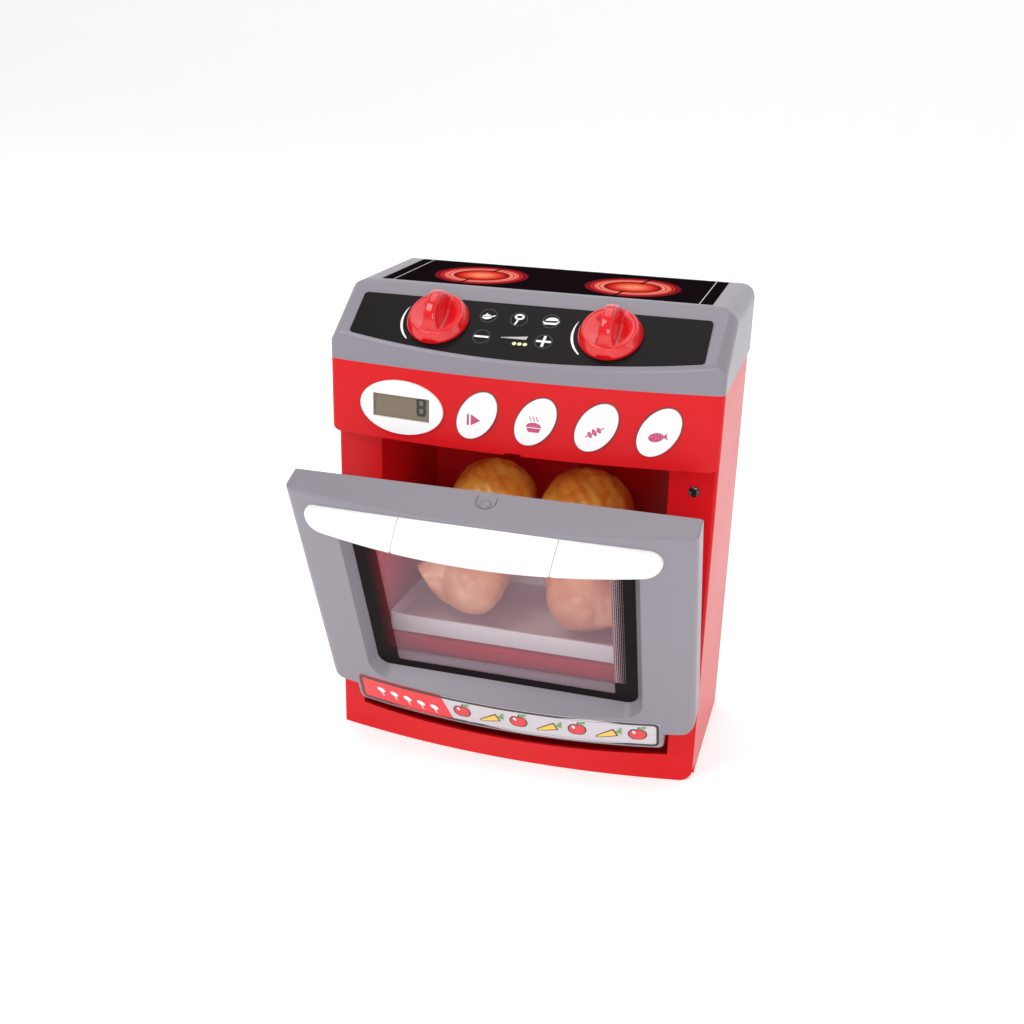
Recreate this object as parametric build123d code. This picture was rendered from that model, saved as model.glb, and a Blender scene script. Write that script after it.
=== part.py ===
from build123d import *
import math
import os

# Toy oven: a battery play cooker with a hob, two knobs, an electronic fascia, a hinged
# window door and a turning spit of two-faced play chickens.
# Frame: X to the right, Y to the back, Z up, origin on the ground under the body.
# All sizes are millimetres.

# ---------------------------------------------------------------- clearances and walls
WALL = 2.4            # outer mouldings
THIN = 1.8            # inner mouldings
GAP = 0.3             # loose gap round a moving moulding
FIT = 0.05            # radial running fit of a shaft
FAR = 400.0           # beyond every solid

# ---------------------------------------------------------------- body and cavity
BODY_HALF = 119.0
BODY_FRONT = -66.2
BODY_CORNER = 6.0
BASE_THICK = 2.5
SEAM_BACK = 10.2      # side seam behind the body's front
CAVITY_FLOOR = 72.0
CAVITY_HIGH = 135.0
CAVITY_DEEP = 104.2   # behind the body's front
SIDE_ROOM = 28.5      # beside the cavity, for the gears and the screws
REAR_ROOM = 12.0      # behind the cavity
MOUTH_BAND = 3.9      # front plate between the cavity mouth and the fascia
FASCIA_HIGH = 45.5
CAP_HIGH = 42.2
CAVITY_HALF = BODY_HALF - SIDE_ROOM
CAVITY_TOP = CAVITY_FLOOR + CAVITY_HIGH
CAVITY_REAR = BODY_FRONT + CAVITY_DEEP
LINER_HALF = CAVITY_HALF + THIN
LINER_FLOOR = CAVITY_FLOOR - THIN
INNER_HALF = BODY_HALF - WALL
PLATE_REAR = BODY_FRONT + WALL
SEAM_Y = BODY_FRONT + SEAM_BACK      # joint line between front frame and rear housing
BODY_REAR = CAVITY_REAR + REAR_ROOM
FASCIA_BOTTOM = CAVITY_TOP + MOUTH_BAND
BODY_TOP = FASCIA_BOTTOM + FASCIA_HIGH
CAP_TOP = BODY_TOP + CAP_HIGH

# ---------------------------------------------------------------- fascia and hob cap
SIDE_LAP = 1.0        # fascia, cap and door beyond the body's side
FASCIA_HALF = BODY_HALF + SIDE_LAP
FASCIA_STEP = 8.8     # fascia's ends in front of the body's front
FASCIA_END_Y = BODY_FRONT - FASCIA_STEP
FASCIA_BOW = 11.1     # how far its middle bows forward
FASCIA_CORNER = 4.0
FASCIA_LOW_CORNER = 6.0
CAP_EDGE = 10.0
CAP_REAR_R = 4.0
CREST_R = 12.0
BROW_R = 4.5
PANEL_TOP = (BODY_FRONT + 17.2, CAP_TOP - 5.6)    # y, z of the control panel's upper edge
PANEL_LOW = (BODY_FRONT - 9.3, CAP_TOP - 24.4)    # y, z of its lower corners
PANEL_INSET = 13.0
PANEL_HALF = FASCIA_HALF - PANEL_INSET
PANEL_THICK = 0.6
PANEL_RUN = PANEL_TOP[0] - PANEL_LOW[0]
PANEL_RISE = PANEL_TOP[1] - PANEL_LOW[1]
PANEL_SLOPE = math.atan2(PANEL_RISE, PANEL_RUN)
PANEL_LENGTH = math.hypot(PANEL_RUN, PANEL_RISE)
HOB_INSET = (16.9, 34.9, 5.2)        # from the cap's side, the body's front and its rear
HOB_HALF = FASCIA_HALF - HOB_INSET[0]
HOB_FRONT = BODY_FRONT + HOB_INSET[1]
HOB_REAR = BODY_REAR - HOB_INSET[2]
HOB_THICK = 1.2
HOB_FLOOR = CAP_TOP - HOB_THICK
BURNER_R = 30.0
BURNER_SHIFT = (-2.55, -3.15)        # from the middle of each half of the plate
BURNER_X = HOB_HALF / 2 + BURNER_SHIFT[0]
BURNER_Y = (HOB_FRONT + HOB_REAR) / 2 + BURNER_SHIFT[1]
EDGE_DEPTH = FASCIA_HALF             # depth and half length of the forms that round the cap
EDGE_LENGTH = FASCIA_HALF + 30.0

# ---------------------------------------------------------------- knobs
KNOB_INSET = 54.6     # from the control panel's end
KNOB_X = PANEL_HALF - KNOB_INSET
KNOB_SHIFT = -2.0     # both knobs sit left of the panel's middle
KNOB_UP = 14.4        # along the panel from its lower corners
KNOB_R = 19.0
KNOB_SKIRT = 1.4      # upright part of the side, under its cone
KNOB_BASE = 6.4
KNOB_RIM = 16.4       # outer radius of the rim round the dished face
KNOB_RIM_WIDE = 1.8
KNOB_DISH = 2.6
KNOB_HEIGHT = 19.0
KNOB_FIN = 8.8
KNOB_SHAFT = 4.0
KNOB_LIFT = 0.3       # gap under the knob

# ---------------------------------------------------------------- display and buttons
FASCIA_MID = (FASCIA_BOTTOM + BODY_TOP) / 2
LCD_OVAL = (27.4, 16.5)
LCD_MARGIN = 21.6     # from the fascia's end to the oval
LCD_DROP = 1.45       # under the fascia's middle height
LCD_X = LCD_MARGIN + LCD_OVAL[0] - FASCIA_HALF
LCD_Z = FASCIA_MID - LCD_DROP
LCD_RIM = 2.2         # bezel's rim round its spigot
LCD_WINDOW = (37.4, 14.4)
LCD_PROUD = 1.6
LCD_SUNK = 1.8        # glass behind the bezel's front
LCD_LAP = 0.6         # glass behind the window's edge
BOARD_ROOM = 3.4      # between the board's front and the body's front
BOARD_FRONT = BODY_FRONT - BOARD_ROOM
BOARD_THICK = 1.6
LCD_SPIGOT = 6.4      # from the bezel's rear to the board
LCD_BACK = BOARD_FRONT - LCD_SPIGOT
BUTTON_COUNT = 4
BUTTON_MARGIN = (48.7, 34.9)         # first one from the display, last one from the end
BUTTON_FIRST = LCD_X + BUTTON_MARGIN[0]
BUTTON_PITCH = (FASCIA_HALF - BUTTON_MARGIN[1] - BUTTON_FIRST) / (BUTTON_COUNT - 1)
BUTTON_DROP = 0.35    # under the fascia's middle height
BUTTON_Z = FASCIA_MID - BUTTON_DROP
BUTTON_OVAL = (10.4, 16.0)
BUTTON_LEAN = -34.0
BUTTON_PROUD = 1.4
BUTTON_TRAVEL = 1.5
FLANGE = 1.4
BUTTON_REACH = max(BUTTON_OVAL) + FLANGE        # its flange's farthest point, however it leans
MEMBRANE = 1.5
POST_CLEAR = 3.1      # from the first button's reach to the post beside it
POST_R = 3.0          # board posts of the fascia
POST_INSET = (8.0, 9.1, 7.4)         # from the fascia's end, bottom and top
BOARD_INSET = (4.0, 5.1, 4.4)        # the same for the board's edges

# ---------------------------------------------------------------- door, modelled closed
DOOR_TILT = 22.35     # how far the door stands open at rest
DOOR_HALF = FASCIA_HALF
DOOR_GAP = 0.8
DOOR_TOP_GAP = 0.85
DOOR_MID_T = 28.3     # thickness at the middle
DOOR_EDGE_T = 16.8    # thickness at the ends
DOOR_CORNER = 6.5
PIVOT_BACK = 12.6     # rear face behind the hinge axis
PIVOT_DROP = 23.95    # hinge axis under the cavity floor
DOOR_REAR = BODY_FRONT - DOOR_GAP
DOOR_TOP = FASCIA_BOTTOM - DOOR_TOP_GAP
PIVOT_Y = DOOR_REAR - PIVOT_BACK
PIVOT_Z = CAVITY_FLOOR - PIVOT_DROP
WIDE_DROP = 4.2       # wide part's lower edge under the hinge axis
WIDE_CORNER = 9.0
PIN_R = 1.5
PIN_BOSS_R = 2.6
PIN_BOSS_END = 3.0    # outer boss beyond the ear
EAR_INSET = 13.0      # hinge ears' inner faces from the body's side
EAR_WIDE = 4.0
EAR = (BODY_HALF - EAR_INSET, BODY_HALF - EAR_INSET + EAR_WIDE)
EAR_R = 3.6
EAR_ROOM = 4.5        # between an ear and the door's lower tab
TAB_HALF = EAR[0] - EAR_ROOM
TAB_DROP = 17.6
TAB_CORNER = 4.0
WINDOW_INSET = 34.9   # from the door's side
WINDOW_HALF = DOOR_HALF - WINDOW_INSET
WINDOW_RISE = 15.0    # window's lower edge above the hinge axis
WINDOW_LOW = DOOR_TOP - PIVOT_Z - WINDOW_RISE     # below the door's top edge
WINDOW_HIGH = 24.0
WINDOW_T = 14.7       # pane's front above the door's rear face
WINDOW_CORNER = 8.0
BEVEL = 30.0
PANE_THICK = 1.5
PANE_LAP = 3.0
MASK_THICK = 0.4
CLEAR_INSET = (14.3, 6.0, 8.0)       # clear area from the window's sides, bottom and top
CLEAR_HALF = WINDOW_HALF - CLEAR_INSET[0]
CLEAR_LOW = WINDOW_LOW - CLEAR_INSET[1]
TUNNEL_INSET = (3.1, 4.5, 4.0)       # the same for the rear shell's tunnel
TUNNEL_HALF = WINDOW_HALF - TUNNEL_INSET[0]
TUNNEL_LOW = WINDOW_LOW - TUNNEL_INSET[1]
TUNNEL_DEEP = 5.7     # from the pane to the step in the tunnel's floor
TUNNEL_STEP = 7.0     # how far the floor drops there
STEP_INSET = 0.3      # step's sides inside the tunnel's
STRIP_INSET = 2.0
STRIP_HALF = TAB_HALF - STRIP_INSET
STRIP_GAP = 8.6       # below the window
STRIP_HIGH = 22.6
STRIP_TOP = WINDOW_LOW + STRIP_GAP
STRIP_LOW = STRIP_TOP + STRIP_HIGH
STRIP_THICK = 0.4
GLUE = 0.05           # glue under the printed strip
NUB_Y = 10.0          # catch nub on the door's top edge, in front of its rear face
NUB_R = 3.6
NUB_HIGH = 1.6
TONGUE = (24.0, 12.0)         # tongue round the nub, outlined by a groove
TONGUE_SLOT = (0.5, 0.8)      # the groove's width and depth
DOOR_BOSS_INSET = 12.0
DOOR_BOSS_Z = (PIVOT_Z + 30.0, PIVOT_Z + 86.0, DOOR_TOP - 18.0)
HANDLE_INSET = 14.7
HANDLE_HALF = DOOR_HALF - HANDLE_INSET
HANDLE_MID = -3.3     # the handle sits left of the door's middle
HANDLE_TOP = (1.0, 9.0)      # below the door's top, at the middle and at the ends
HANDLE_LOW = (32.5, 26.5)
HANDLE_THICK = 5.5
HANDLE_END = 7.0
SEAM_LEFT = (HANDLE_MID - 42.7, HANDLE_MID - 51.7)   # x of the slanted seam, top and bottom
SEAM_RIGHT = (HANDLE_MID + 49.8, HANDLE_MID + 42.8)

# ---------------------------------------------------------------- base front and trough
LIP_TOP = 19.6
LIP_BOW = 20.3
FOOT_BOW = 12.4
LIP_FOOT = 8.0        # rounding of the front's two lower corners
CHEEK_GAP = 1.0       # between the door's wide part and the front beside the trough
CHEEK_TOP = PIVOT_Z - WIDE_DROP - CHEEK_GAP
TROUGH_ROOM = (1.4, 14.7, 13.95)     # beside the tab, behind the front, above the hinge axis
TROUGH_HALF = TAB_HALF + TROUGH_ROOM[0]
TROUGH_FLOOR = 14.0
TROUGH_REAR = BODY_FRONT + TROUGH_ROOM[1]
TROUGH_TOP = PIVOT_Z + TROUGH_ROOM[2]

# ---------------------------------------------------------------- liner and tray
FLANGE_OUT = 8.1      # liner's flange beyond its walls
LINER_FLANGE = LINER_HALF + FLANGE_OUT
TRAY_ROOM = 2.5       # between the tray and the cavity's walls
TRAY_SETBACK = 2.2
TRAY_BEHIND = 4.0
TRAY_HALF = CAVITY_HALF - TRAY_ROOM
TRAY_FRONT = BODY_FRONT + TRAY_SETBACK
TRAY_REAR = CAVITY_REAR - TRAY_BEHIND
TRAY_RIM = 11.5
TRAY_THICK = 2.0
TRAY_LIFT = 1.6       # height of the tray's feet
TRAY_FOOT = (4.0, 12.0)       # their radius and their inset from the tray's sides
LAMP_BACK = 20.2      # lamp behind the body's front
LAMP = (0.0, BODY_FRONT + LAMP_BACK)
LAMP_R = 4.6

# ---------------------------------------------------------------- spit and drive
MODULE = 1.0
SPIT_TEETH = 44
IDLER_TEETH = 42
PINION_TEETH = 14
BACKLASH = 0.3
IDLER_DROP = MODULE * (SPIT_TEETH + IDLER_TEETH) / 2
PINION_DROP = IDLER_DROP + MODULE * (IDLER_TEETH + PINION_TEETH) / 2
GEARBOX_HALF = 9.0    # half height of the gearbox
GEARBOX_ROOM = 1.2    # between the gearbox and the liner's floor
SPIT_BACK = 60.0      # axle in front of the cavity's back wall
SPIT_Y = CAVITY_REAR - SPIT_BACK
SPIT_Z = LINER_FLOOR - GEARBOX_ROOM - GEARBOX_HALF + PINION_DROP
SPIT_R = 2.5
BUSH_R = 4.5
IDLER_PLACE = (SPIT_Y, SPIT_Z - IDLER_DROP)
PINION_PLACE = (SPIT_Y, SPIT_Z - PINION_DROP)
IDLER_PIN_R = 2.0
PINION_SHAFT = 1.5
GEAR_ROOM = 2.7       # between the liner and the gears
GEAR_WIDE = 4.0
GEAR_X = (LINER_HALF + GEAR_ROOM, LINER_HALF + GEAR_ROOM + GEAR_WIDE)
GEARBOX_WIDE = 28.0
GEARBOX_OFF = 5.0     # between the gearbox and the gears
GEARBOX_X = (GEAR_X[0] - GEARBOX_OFF - GEARBOX_WIDE, GEAR_X[0] - GEARBOX_OFF)
MOTOR_LEN = 25.0

# ---------------------------------------------------------------- play chickens
CHICKEN_X = (-30.0, 32.0)
CHICKEN_REACH = 84.0  # furthest lump from the middle, along the axle
CHICKEN_ROOM = 6.5    # between that lump and the cavity's wall
CHICKEN_FIT = CAVITY_HALF / (CHICKEN_REACH + CHICKEN_ROOM)
CHICKEN_TILT = 24.0   # seam plane's fall towards the front
HUB_WALL = 2.0        # tube round the axle inside each chicken
SHELL = 2.0
# Lumps of each chicken as offsets from the axle and a radius, all within 54 of the axle.
LEFT_ROAST = ((0, 3, 24.5, 28.5), (-10, -10, 14, 18), (11, -9, 15, 17))
LEFT_RAW = ((-10, 3, -20, 25), (-7, -19, -27, 20.5), (-38, -21, -31, 16))
RIGHT_ROAST = ((0, 3, 22.5, 31), (-12, -10, 14, 18), (13, -9, 15, 18))
RIGHT_RAW = ((0, 4, -21, 26), (2, -18, -28, 20.5), (23, -14, -33, 15))

# ---------------------------------------------------------------- small pieces
SCREW_R = 1.25
SCREW_LONG = 14.0
HEAD_R = 2.5
HEAD_H = 1.5
BOSS_R = 3.6
BASE_BOSS = 22.0      # height of the bosses over the base screws
BASE_SCREW_INSET = (11.0, 23.2, 10.0)             # from the body's side, front and rear
CAP_SCREW_INSET = (13.0, 26.2, 16.0)
LINER_SCREW_INSET = (4.1, 12.0, 27.0)             # from the liner's wall, cavity floor and top
BASE_SCREWS = [(sx * (BODY_HALF - BASE_SCREW_INSET[0]), y) for sx in (-1, 1)
               for y in (BODY_FRONT + BASE_SCREW_INSET[1], BODY_REAR - BASE_SCREW_INSET[2])]
CAP_SCREWS = [(sx * (BODY_HALF - CAP_SCREW_INSET[0]), y) for sx in (-1, 1)
              for y in (BODY_FRONT + CAP_SCREW_INSET[1], BODY_REAR - CAP_SCREW_INSET[2])]
LINER_SCREWS = [(sx * (LINER_HALF + LINER_SCREW_INSET[0]), z) for sx in (-1, 1)
                for z in (CAVITY_FLOOR + LINER_SCREW_INSET[1], CAVITY_TOP - LINER_SCREW_INSET[2])]
SPEAKER = (12.0, BODY_REAR - 26.0)
SPEAKER_R = 20.0
GRILLE_R = 1.2
VENT_TOP = 34.4       # lowest vents under the top of the body
VENT_PITCH = (14.0, 9.0)
VENT_SIZE = (10.0, 3.0)
WIRE_HOLE = (60.0, 12.0)      # half width and height of the front plate's hole behind the board
PLUNGER_OUT = 5.3     # beyond the liner's flange
PLUNGER_DROP = 16.0   # under the fascia
PLUNGER_X = LINER_FLANGE + PLUNGER_OUT
PLUNGER_Z = FASCIA_BOTTOM - PLUNGER_DROP
PLUNGER_R = 3.4
PLUNGER_PROUD = 0.55
PLUNGER_TRAVEL = 2.0
RING_SHIFT = (-5.8, 9.6)      # moulded ring from the plunger
RING_R = 2.4
SWITCH_INSET = 35.0
SWITCH_X = BODY_HALF - SWITCH_INSET
SWITCH_Z = 32.0
SWITCH_TRAVEL = 4.0
BATTERY_R = 7.1
BATTERY_LEN = 50.5
BATTERY_PITCH = 15.0
BATTERY_INSET = 44.0
BATTERY_SHIFT = 3.1   # behind the middle of the body's depth
BATTERY_X = BATTERY_INSET - BODY_HALF
BATTERY_Y = (BODY_FRONT + BODY_REAR) / 2 + BATTERY_SHIFT

NODES = {}


def add(name, *solids):
    """Keep the solids of one named node."""
    shape = solids[0]
    for other in solids[1:]:
        shape = shape + other
    NODES[name] = shape


# ---------------------------------------------------------------- basic shapes
def block(x0, x1, y0, y1, z0, z1):
    """Box between two corners."""
    return Pos((x0 + x1) / 2, (y0 + y1) / 2, (z0 + z1) / 2) * Box(x1 - x0, y1 - y0, z1 - z0)


def rod_x(x0, x1, y, z, r):
    """Cylinder along X."""
    return Pos((x0 + x1) / 2, y, z) * Rot(0, 90, 0) * Cylinder(r, x1 - x0)


def rod_y(y0, y1, x, z, r):
    """Cylinder along Y."""
    return Pos(x, (y0 + y1) / 2, z) * Rot(90, 0, 0) * Cylinder(r, y1 - y0)


def rod_z(z0, z1, x, y, r):
    """Cylinder along Z."""
    return Pos(x, y, (z0 + z1) / 2) * Cylinder(r, z1 - z0)


def prism_x(sketch, x0, x1):
    """Extrude a sketch drawn in Y and Z along X."""
    return extrude(Plane((x0, 0, 0), x_dir=(0, 1, 0), z_dir=(1, 0, 0)) * sketch, x1 - x0)


def prism_y(sketch, y0, y1):
    """Extrude a sketch drawn in X and Z along Y."""
    return extrude(Plane((0, y1, 0), x_dir=(1, 0, 0), z_dir=(0, -1, 0)) * sketch, y1 - y0)


def prism_z(sketch, z0, z1):
    """Extrude a sketch drawn in X and Y along Z."""
    return extrude(Pos(0, 0, z0) * sketch, z1 - z0)


def both_sides(shape):
    """A shape and its mirror image across the middle plane."""
    return shape + mirror(shape, about=Plane.YZ)


def ellipsoid(centre, radii):
    """Ellipsoid with its axes along X, Y and Z."""
    return Pos(*centre) * scale(Sphere(1.0), by=radii)


def arc_radius(half, rise):
    """Radius of an arc from its half chord and its rise."""
    return (half * half + rise * rise) / (2 * rise)


def bow_y(x, half, end_y, rise, inset=0.0):
    """Front of a bowed wall at x, moved inwards by an inset."""
    radius = arc_radius(half, rise)
    return end_y - rise + radius - math.sqrt((radius - inset) ** 2 - x * x)


def fascia_y(x, inset=0.0):
    """Front of the fascia at x."""
    return bow_y(x, FASCIA_HALF, FASCIA_END_Y, FASCIA_BOW, inset)


def bowed_plan(half, end_y, rise, rear_y, corner, inset=0.0):
    """Plan with a straight rear, straight sides and a front bowed towards -Y."""
    side = half - inset
    y_end = bow_y(side, half, end_y, rise, inset)
    y_mid = bow_y(0, half, end_y, rise, inset)
    sides = Polyline((-side, y_end), (-side, rear_y), (side, rear_y), (side, y_end))
    face = make_face(sides + ThreePointArc((side, y_end), (0, y_mid), (-side, y_end)))
    corners = face.vertices().filter_by_position(Axis.Y, y_end - 0.01, y_end + 0.01)
    return fillet(corners, max(corner - inset, 0.5))


def fascia_plan(rear_y, inset=0.0):
    """Plan that the fascia and the hob cap share."""
    return bowed_plan(FASCIA_HALF, FASCIA_END_Y, FASCIA_BOW, rear_y, FASCIA_CORNER, inset)


def screw_up(x, y, z, length):
    """Screw with its head at z, driven upwards."""
    return rod_z(z, z + HEAD_H, x, y, HEAD_R) + rod_z(z + HEAD_H, z + length, x, y, SCREW_R)


def screw_front(x, y, z, length):
    """Screw with its head's back at y, driven towards the front."""
    return rod_y(y - HEAD_H, y, x, z, HEAD_R) + rod_y(y - length, y - HEAD_H, x, z, SCREW_R)


# ---------------------------------------------------------------- base, front and rear
def cap_tabs():
    """Corner shelves that carry the hob cap."""
    tabs = None
    for x, y in CAP_SCREWS:
        side = 1 if x > 0 else -1
        edges = sorted((side * (abs(x) - 6), side * INNER_HALF))
        tab = block(edges[0], edges[1], y - 6, y + 6, BODY_TOP - WALL, BODY_TOP)
        tab -= rod_z(BODY_TOP - 2 * WALL, BODY_TOP + 1, x, y, SCREW_R + FIT)
        tabs = tab if tabs is None else tabs + tab
    return tabs


def make_rear_housing():
    """Sides and back in one moulding, with bosses, vents and the switch slot."""
    outer = Pos(0, (SEAM_Y + BODY_REAR) / 2) * Rectangle(2 * BODY_HALF, BODY_REAR - SEAM_Y)
    rear = outer.vertices().filter_by_position(Axis.Y, BODY_REAR - 0.01, BODY_REAR + 0.01)
    outer = fillet(rear, BODY_CORNER)
    inner_rear = BODY_REAR - WALL
    inner = Pos(0, (SEAM_Y - 1 + inner_rear) / 2) * Rectangle(2 * INNER_HALF, inner_rear - SEAM_Y + 1)
    rear = inner.vertices().filter_by_position(Axis.Y, inner_rear - 0.01, inner_rear + 0.01)
    inner = fillet(rear, BODY_CORNER - WALL)
    shell = prism_z(outer - inner, 0, BODY_TOP) + cap_tabs()
    for x, y in BASE_SCREWS:
        side = 1 if x > 0 else -1
        rib = sorted((x, side * INNER_HALF))
        shell += rod_z(BASE_THICK, BASE_BOSS, x, y, BOSS_R)
        shell += block(rib[0], rib[1], y - 1, y + 1, BASE_THICK, BASE_BOSS)
        shell -= rod_z(0, SCREW_LONG + 2, x, y, SCREW_R + FIT)
    for row in range(3):
        for column in range(9):
            x = (column - 4) * VENT_PITCH[0]
            z = BODY_TOP - VENT_TOP + row * VENT_PITCH[1]
            shell -= block(x - VENT_SIZE[0] / 2, x + VENT_SIZE[0] / 2, inner_rear - 1, BODY_REAR + 1,
                           z - VENT_SIZE[1] / 2, z + VENT_SIZE[1] / 2)
    half = SWITCH_TRAVEL / 2 + 3.0
    shell -= block(SWITCH_X - half, SWITCH_X + half, inner_rear - 1, BODY_REAR + 1,
                   SWITCH_Z - 3.0 - GAP, SWITCH_Z + 3.0 + GAP)
    return shell


def lip_plan(inset, z):
    """Bumper's bowed outline at a height."""
    rise = FOOT_BOW + (LIP_BOW - FOOT_BOW) * z / LIP_TOP
    side = BODY_HALF - inset
    y_end = BODY_FRONT + inset
    ends = Polyline((-side, y_end), (-side, y_end + 6), (side, y_end + 6), (side, y_end))
    arc = ThreePointArc((side, y_end), (0, y_end - rise), (-side, y_end))
    return Pos(0, 0, z) * make_face(ends + arc)


def lip_loft(inset, z0, z1):
    """Bumper form between two heights, drafted outwards towards its top."""
    return loft([lip_plan(inset, z0), lip_plan(inset, z1)])


def make_front_frame():
    """Front plate with the cavity mouth, hinge ears, trough and bumper in one moulding."""
    plate = block(-BODY_HALF, BODY_HALF, BODY_FRONT, PLATE_REAR, 0, BODY_TOP)
    returns = block(INNER_HALF, BODY_HALF, BODY_FRONT, SEAM_Y, 0, BODY_TOP)
    frame = plate + both_sides(returns)
    uprights = frame.edges().filter_by(Axis.Z).filter_by_position(Axis.Y, BODY_FRONT - 0.1, BODY_FRONT + 0.1)
    frame = fillet(uprights, 2.0)
    frame += lip_loft(0, 0, LIP_TOP)
    cheek = block(TROUGH_HALF, BODY_HALF, -FAR, BODY_FRONT + 1, LIP_TOP, CHEEK_TOP)
    frame += extrude(lip_plan(0, LIP_TOP), CHEEK_TOP - LIP_TOP) & both_sides(cheek)
    foot_x = BODY_HALF - LIP_FOOT
    foot = block(foot_x, BODY_HALF + 1, -FAR, 0, -1, LIP_FOOT)
    foot -= rod_y(-FAR, 1, foot_x, LIP_FOOT, LIP_FOOT)
    frame -= both_sides(foot)
    frame -= lip_loft(WALL, -1.0, TROUGH_FLOOR - WALL)
    trough_out = TROUGH_HALF + WALL
    frame += block(-trough_out, trough_out, BODY_FRONT + 1, TROUGH_REAR + WALL,
                   TROUGH_FLOOR - WALL, TROUGH_TOP + WALL)
    frame -= block(-TROUGH_HALF, TROUGH_HALF, BODY_FRONT - 0.5, TROUGH_REAR, TROUGH_FLOOR, TROUGH_TOP)
    frame -= lip_loft(WALL, TROUGH_FLOOR, LIP_TOP + 0.5) & block(
        -TROUGH_HALF, TROUGH_HALF, -FAR, BODY_FRONT + 3, TROUGH_FLOOR, LIP_TOP + 1)
    mouth = Pos(0, (CAVITY_FLOOR + CAVITY_TOP) / 2) * RectangleRounded(
        2 * CAVITY_HALF, CAVITY_TOP - CAVITY_FLOOR, 3.0)
    frame -= prism_y(mouth, BODY_FRONT - 1, PLATE_REAR + 1)
    frame -= block(-WIRE_HOLE[0], WIRE_HOLE[0], BODY_FRONT - 1, PLATE_REAR + 1,
                   FASCIA_MID - WIRE_HOLE[1], FASCIA_MID + WIRE_HOLE[1])
    ear = block(EAR[0], EAR[1], PIVOT_Y, PLATE_REAR, PIVOT_Z - EAR_R, PIVOT_Z + EAR_R)
    ear += rod_x(EAR[0], EAR[1], PIVOT_Y, PIVOT_Z, EAR_R)
    ear -= rod_x(EAR[0] - 1, EAR[1] + 1, PIVOT_Y, PIVOT_Z, PIN_R + FIT)
    frame += both_sides(ear)
    frame -= rod_y(BODY_FRONT - 1, PLATE_REAR + 1, PLUNGER_X, PLUNGER_Z, PLUNGER_R + FIT)
    ring_x = PLUNGER_X + RING_SHIFT[0]
    ring_z = PLUNGER_Z + RING_SHIFT[1]
    ring = rod_y(BODY_FRONT - 0.4, BODY_FRONT, ring_x, ring_z, RING_R)
    frame += ring - rod_y(BODY_FRONT - 1, BODY_FRONT, ring_x, ring_z, RING_R - 0.9)
    for x, z in LINER_SCREWS:
        frame += rod_y(PLATE_REAR, PLATE_REAR + 1, x, z, BOSS_R) - rod_y(
            PLATE_REAR - 1, PLATE_REAR + 2, x, z, SCREW_R + FIT)
        frame -= rod_y(BODY_FRONT + 0.8, PLATE_REAR + 2, x, z, SCREW_R + FIT)
    return frame


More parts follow.
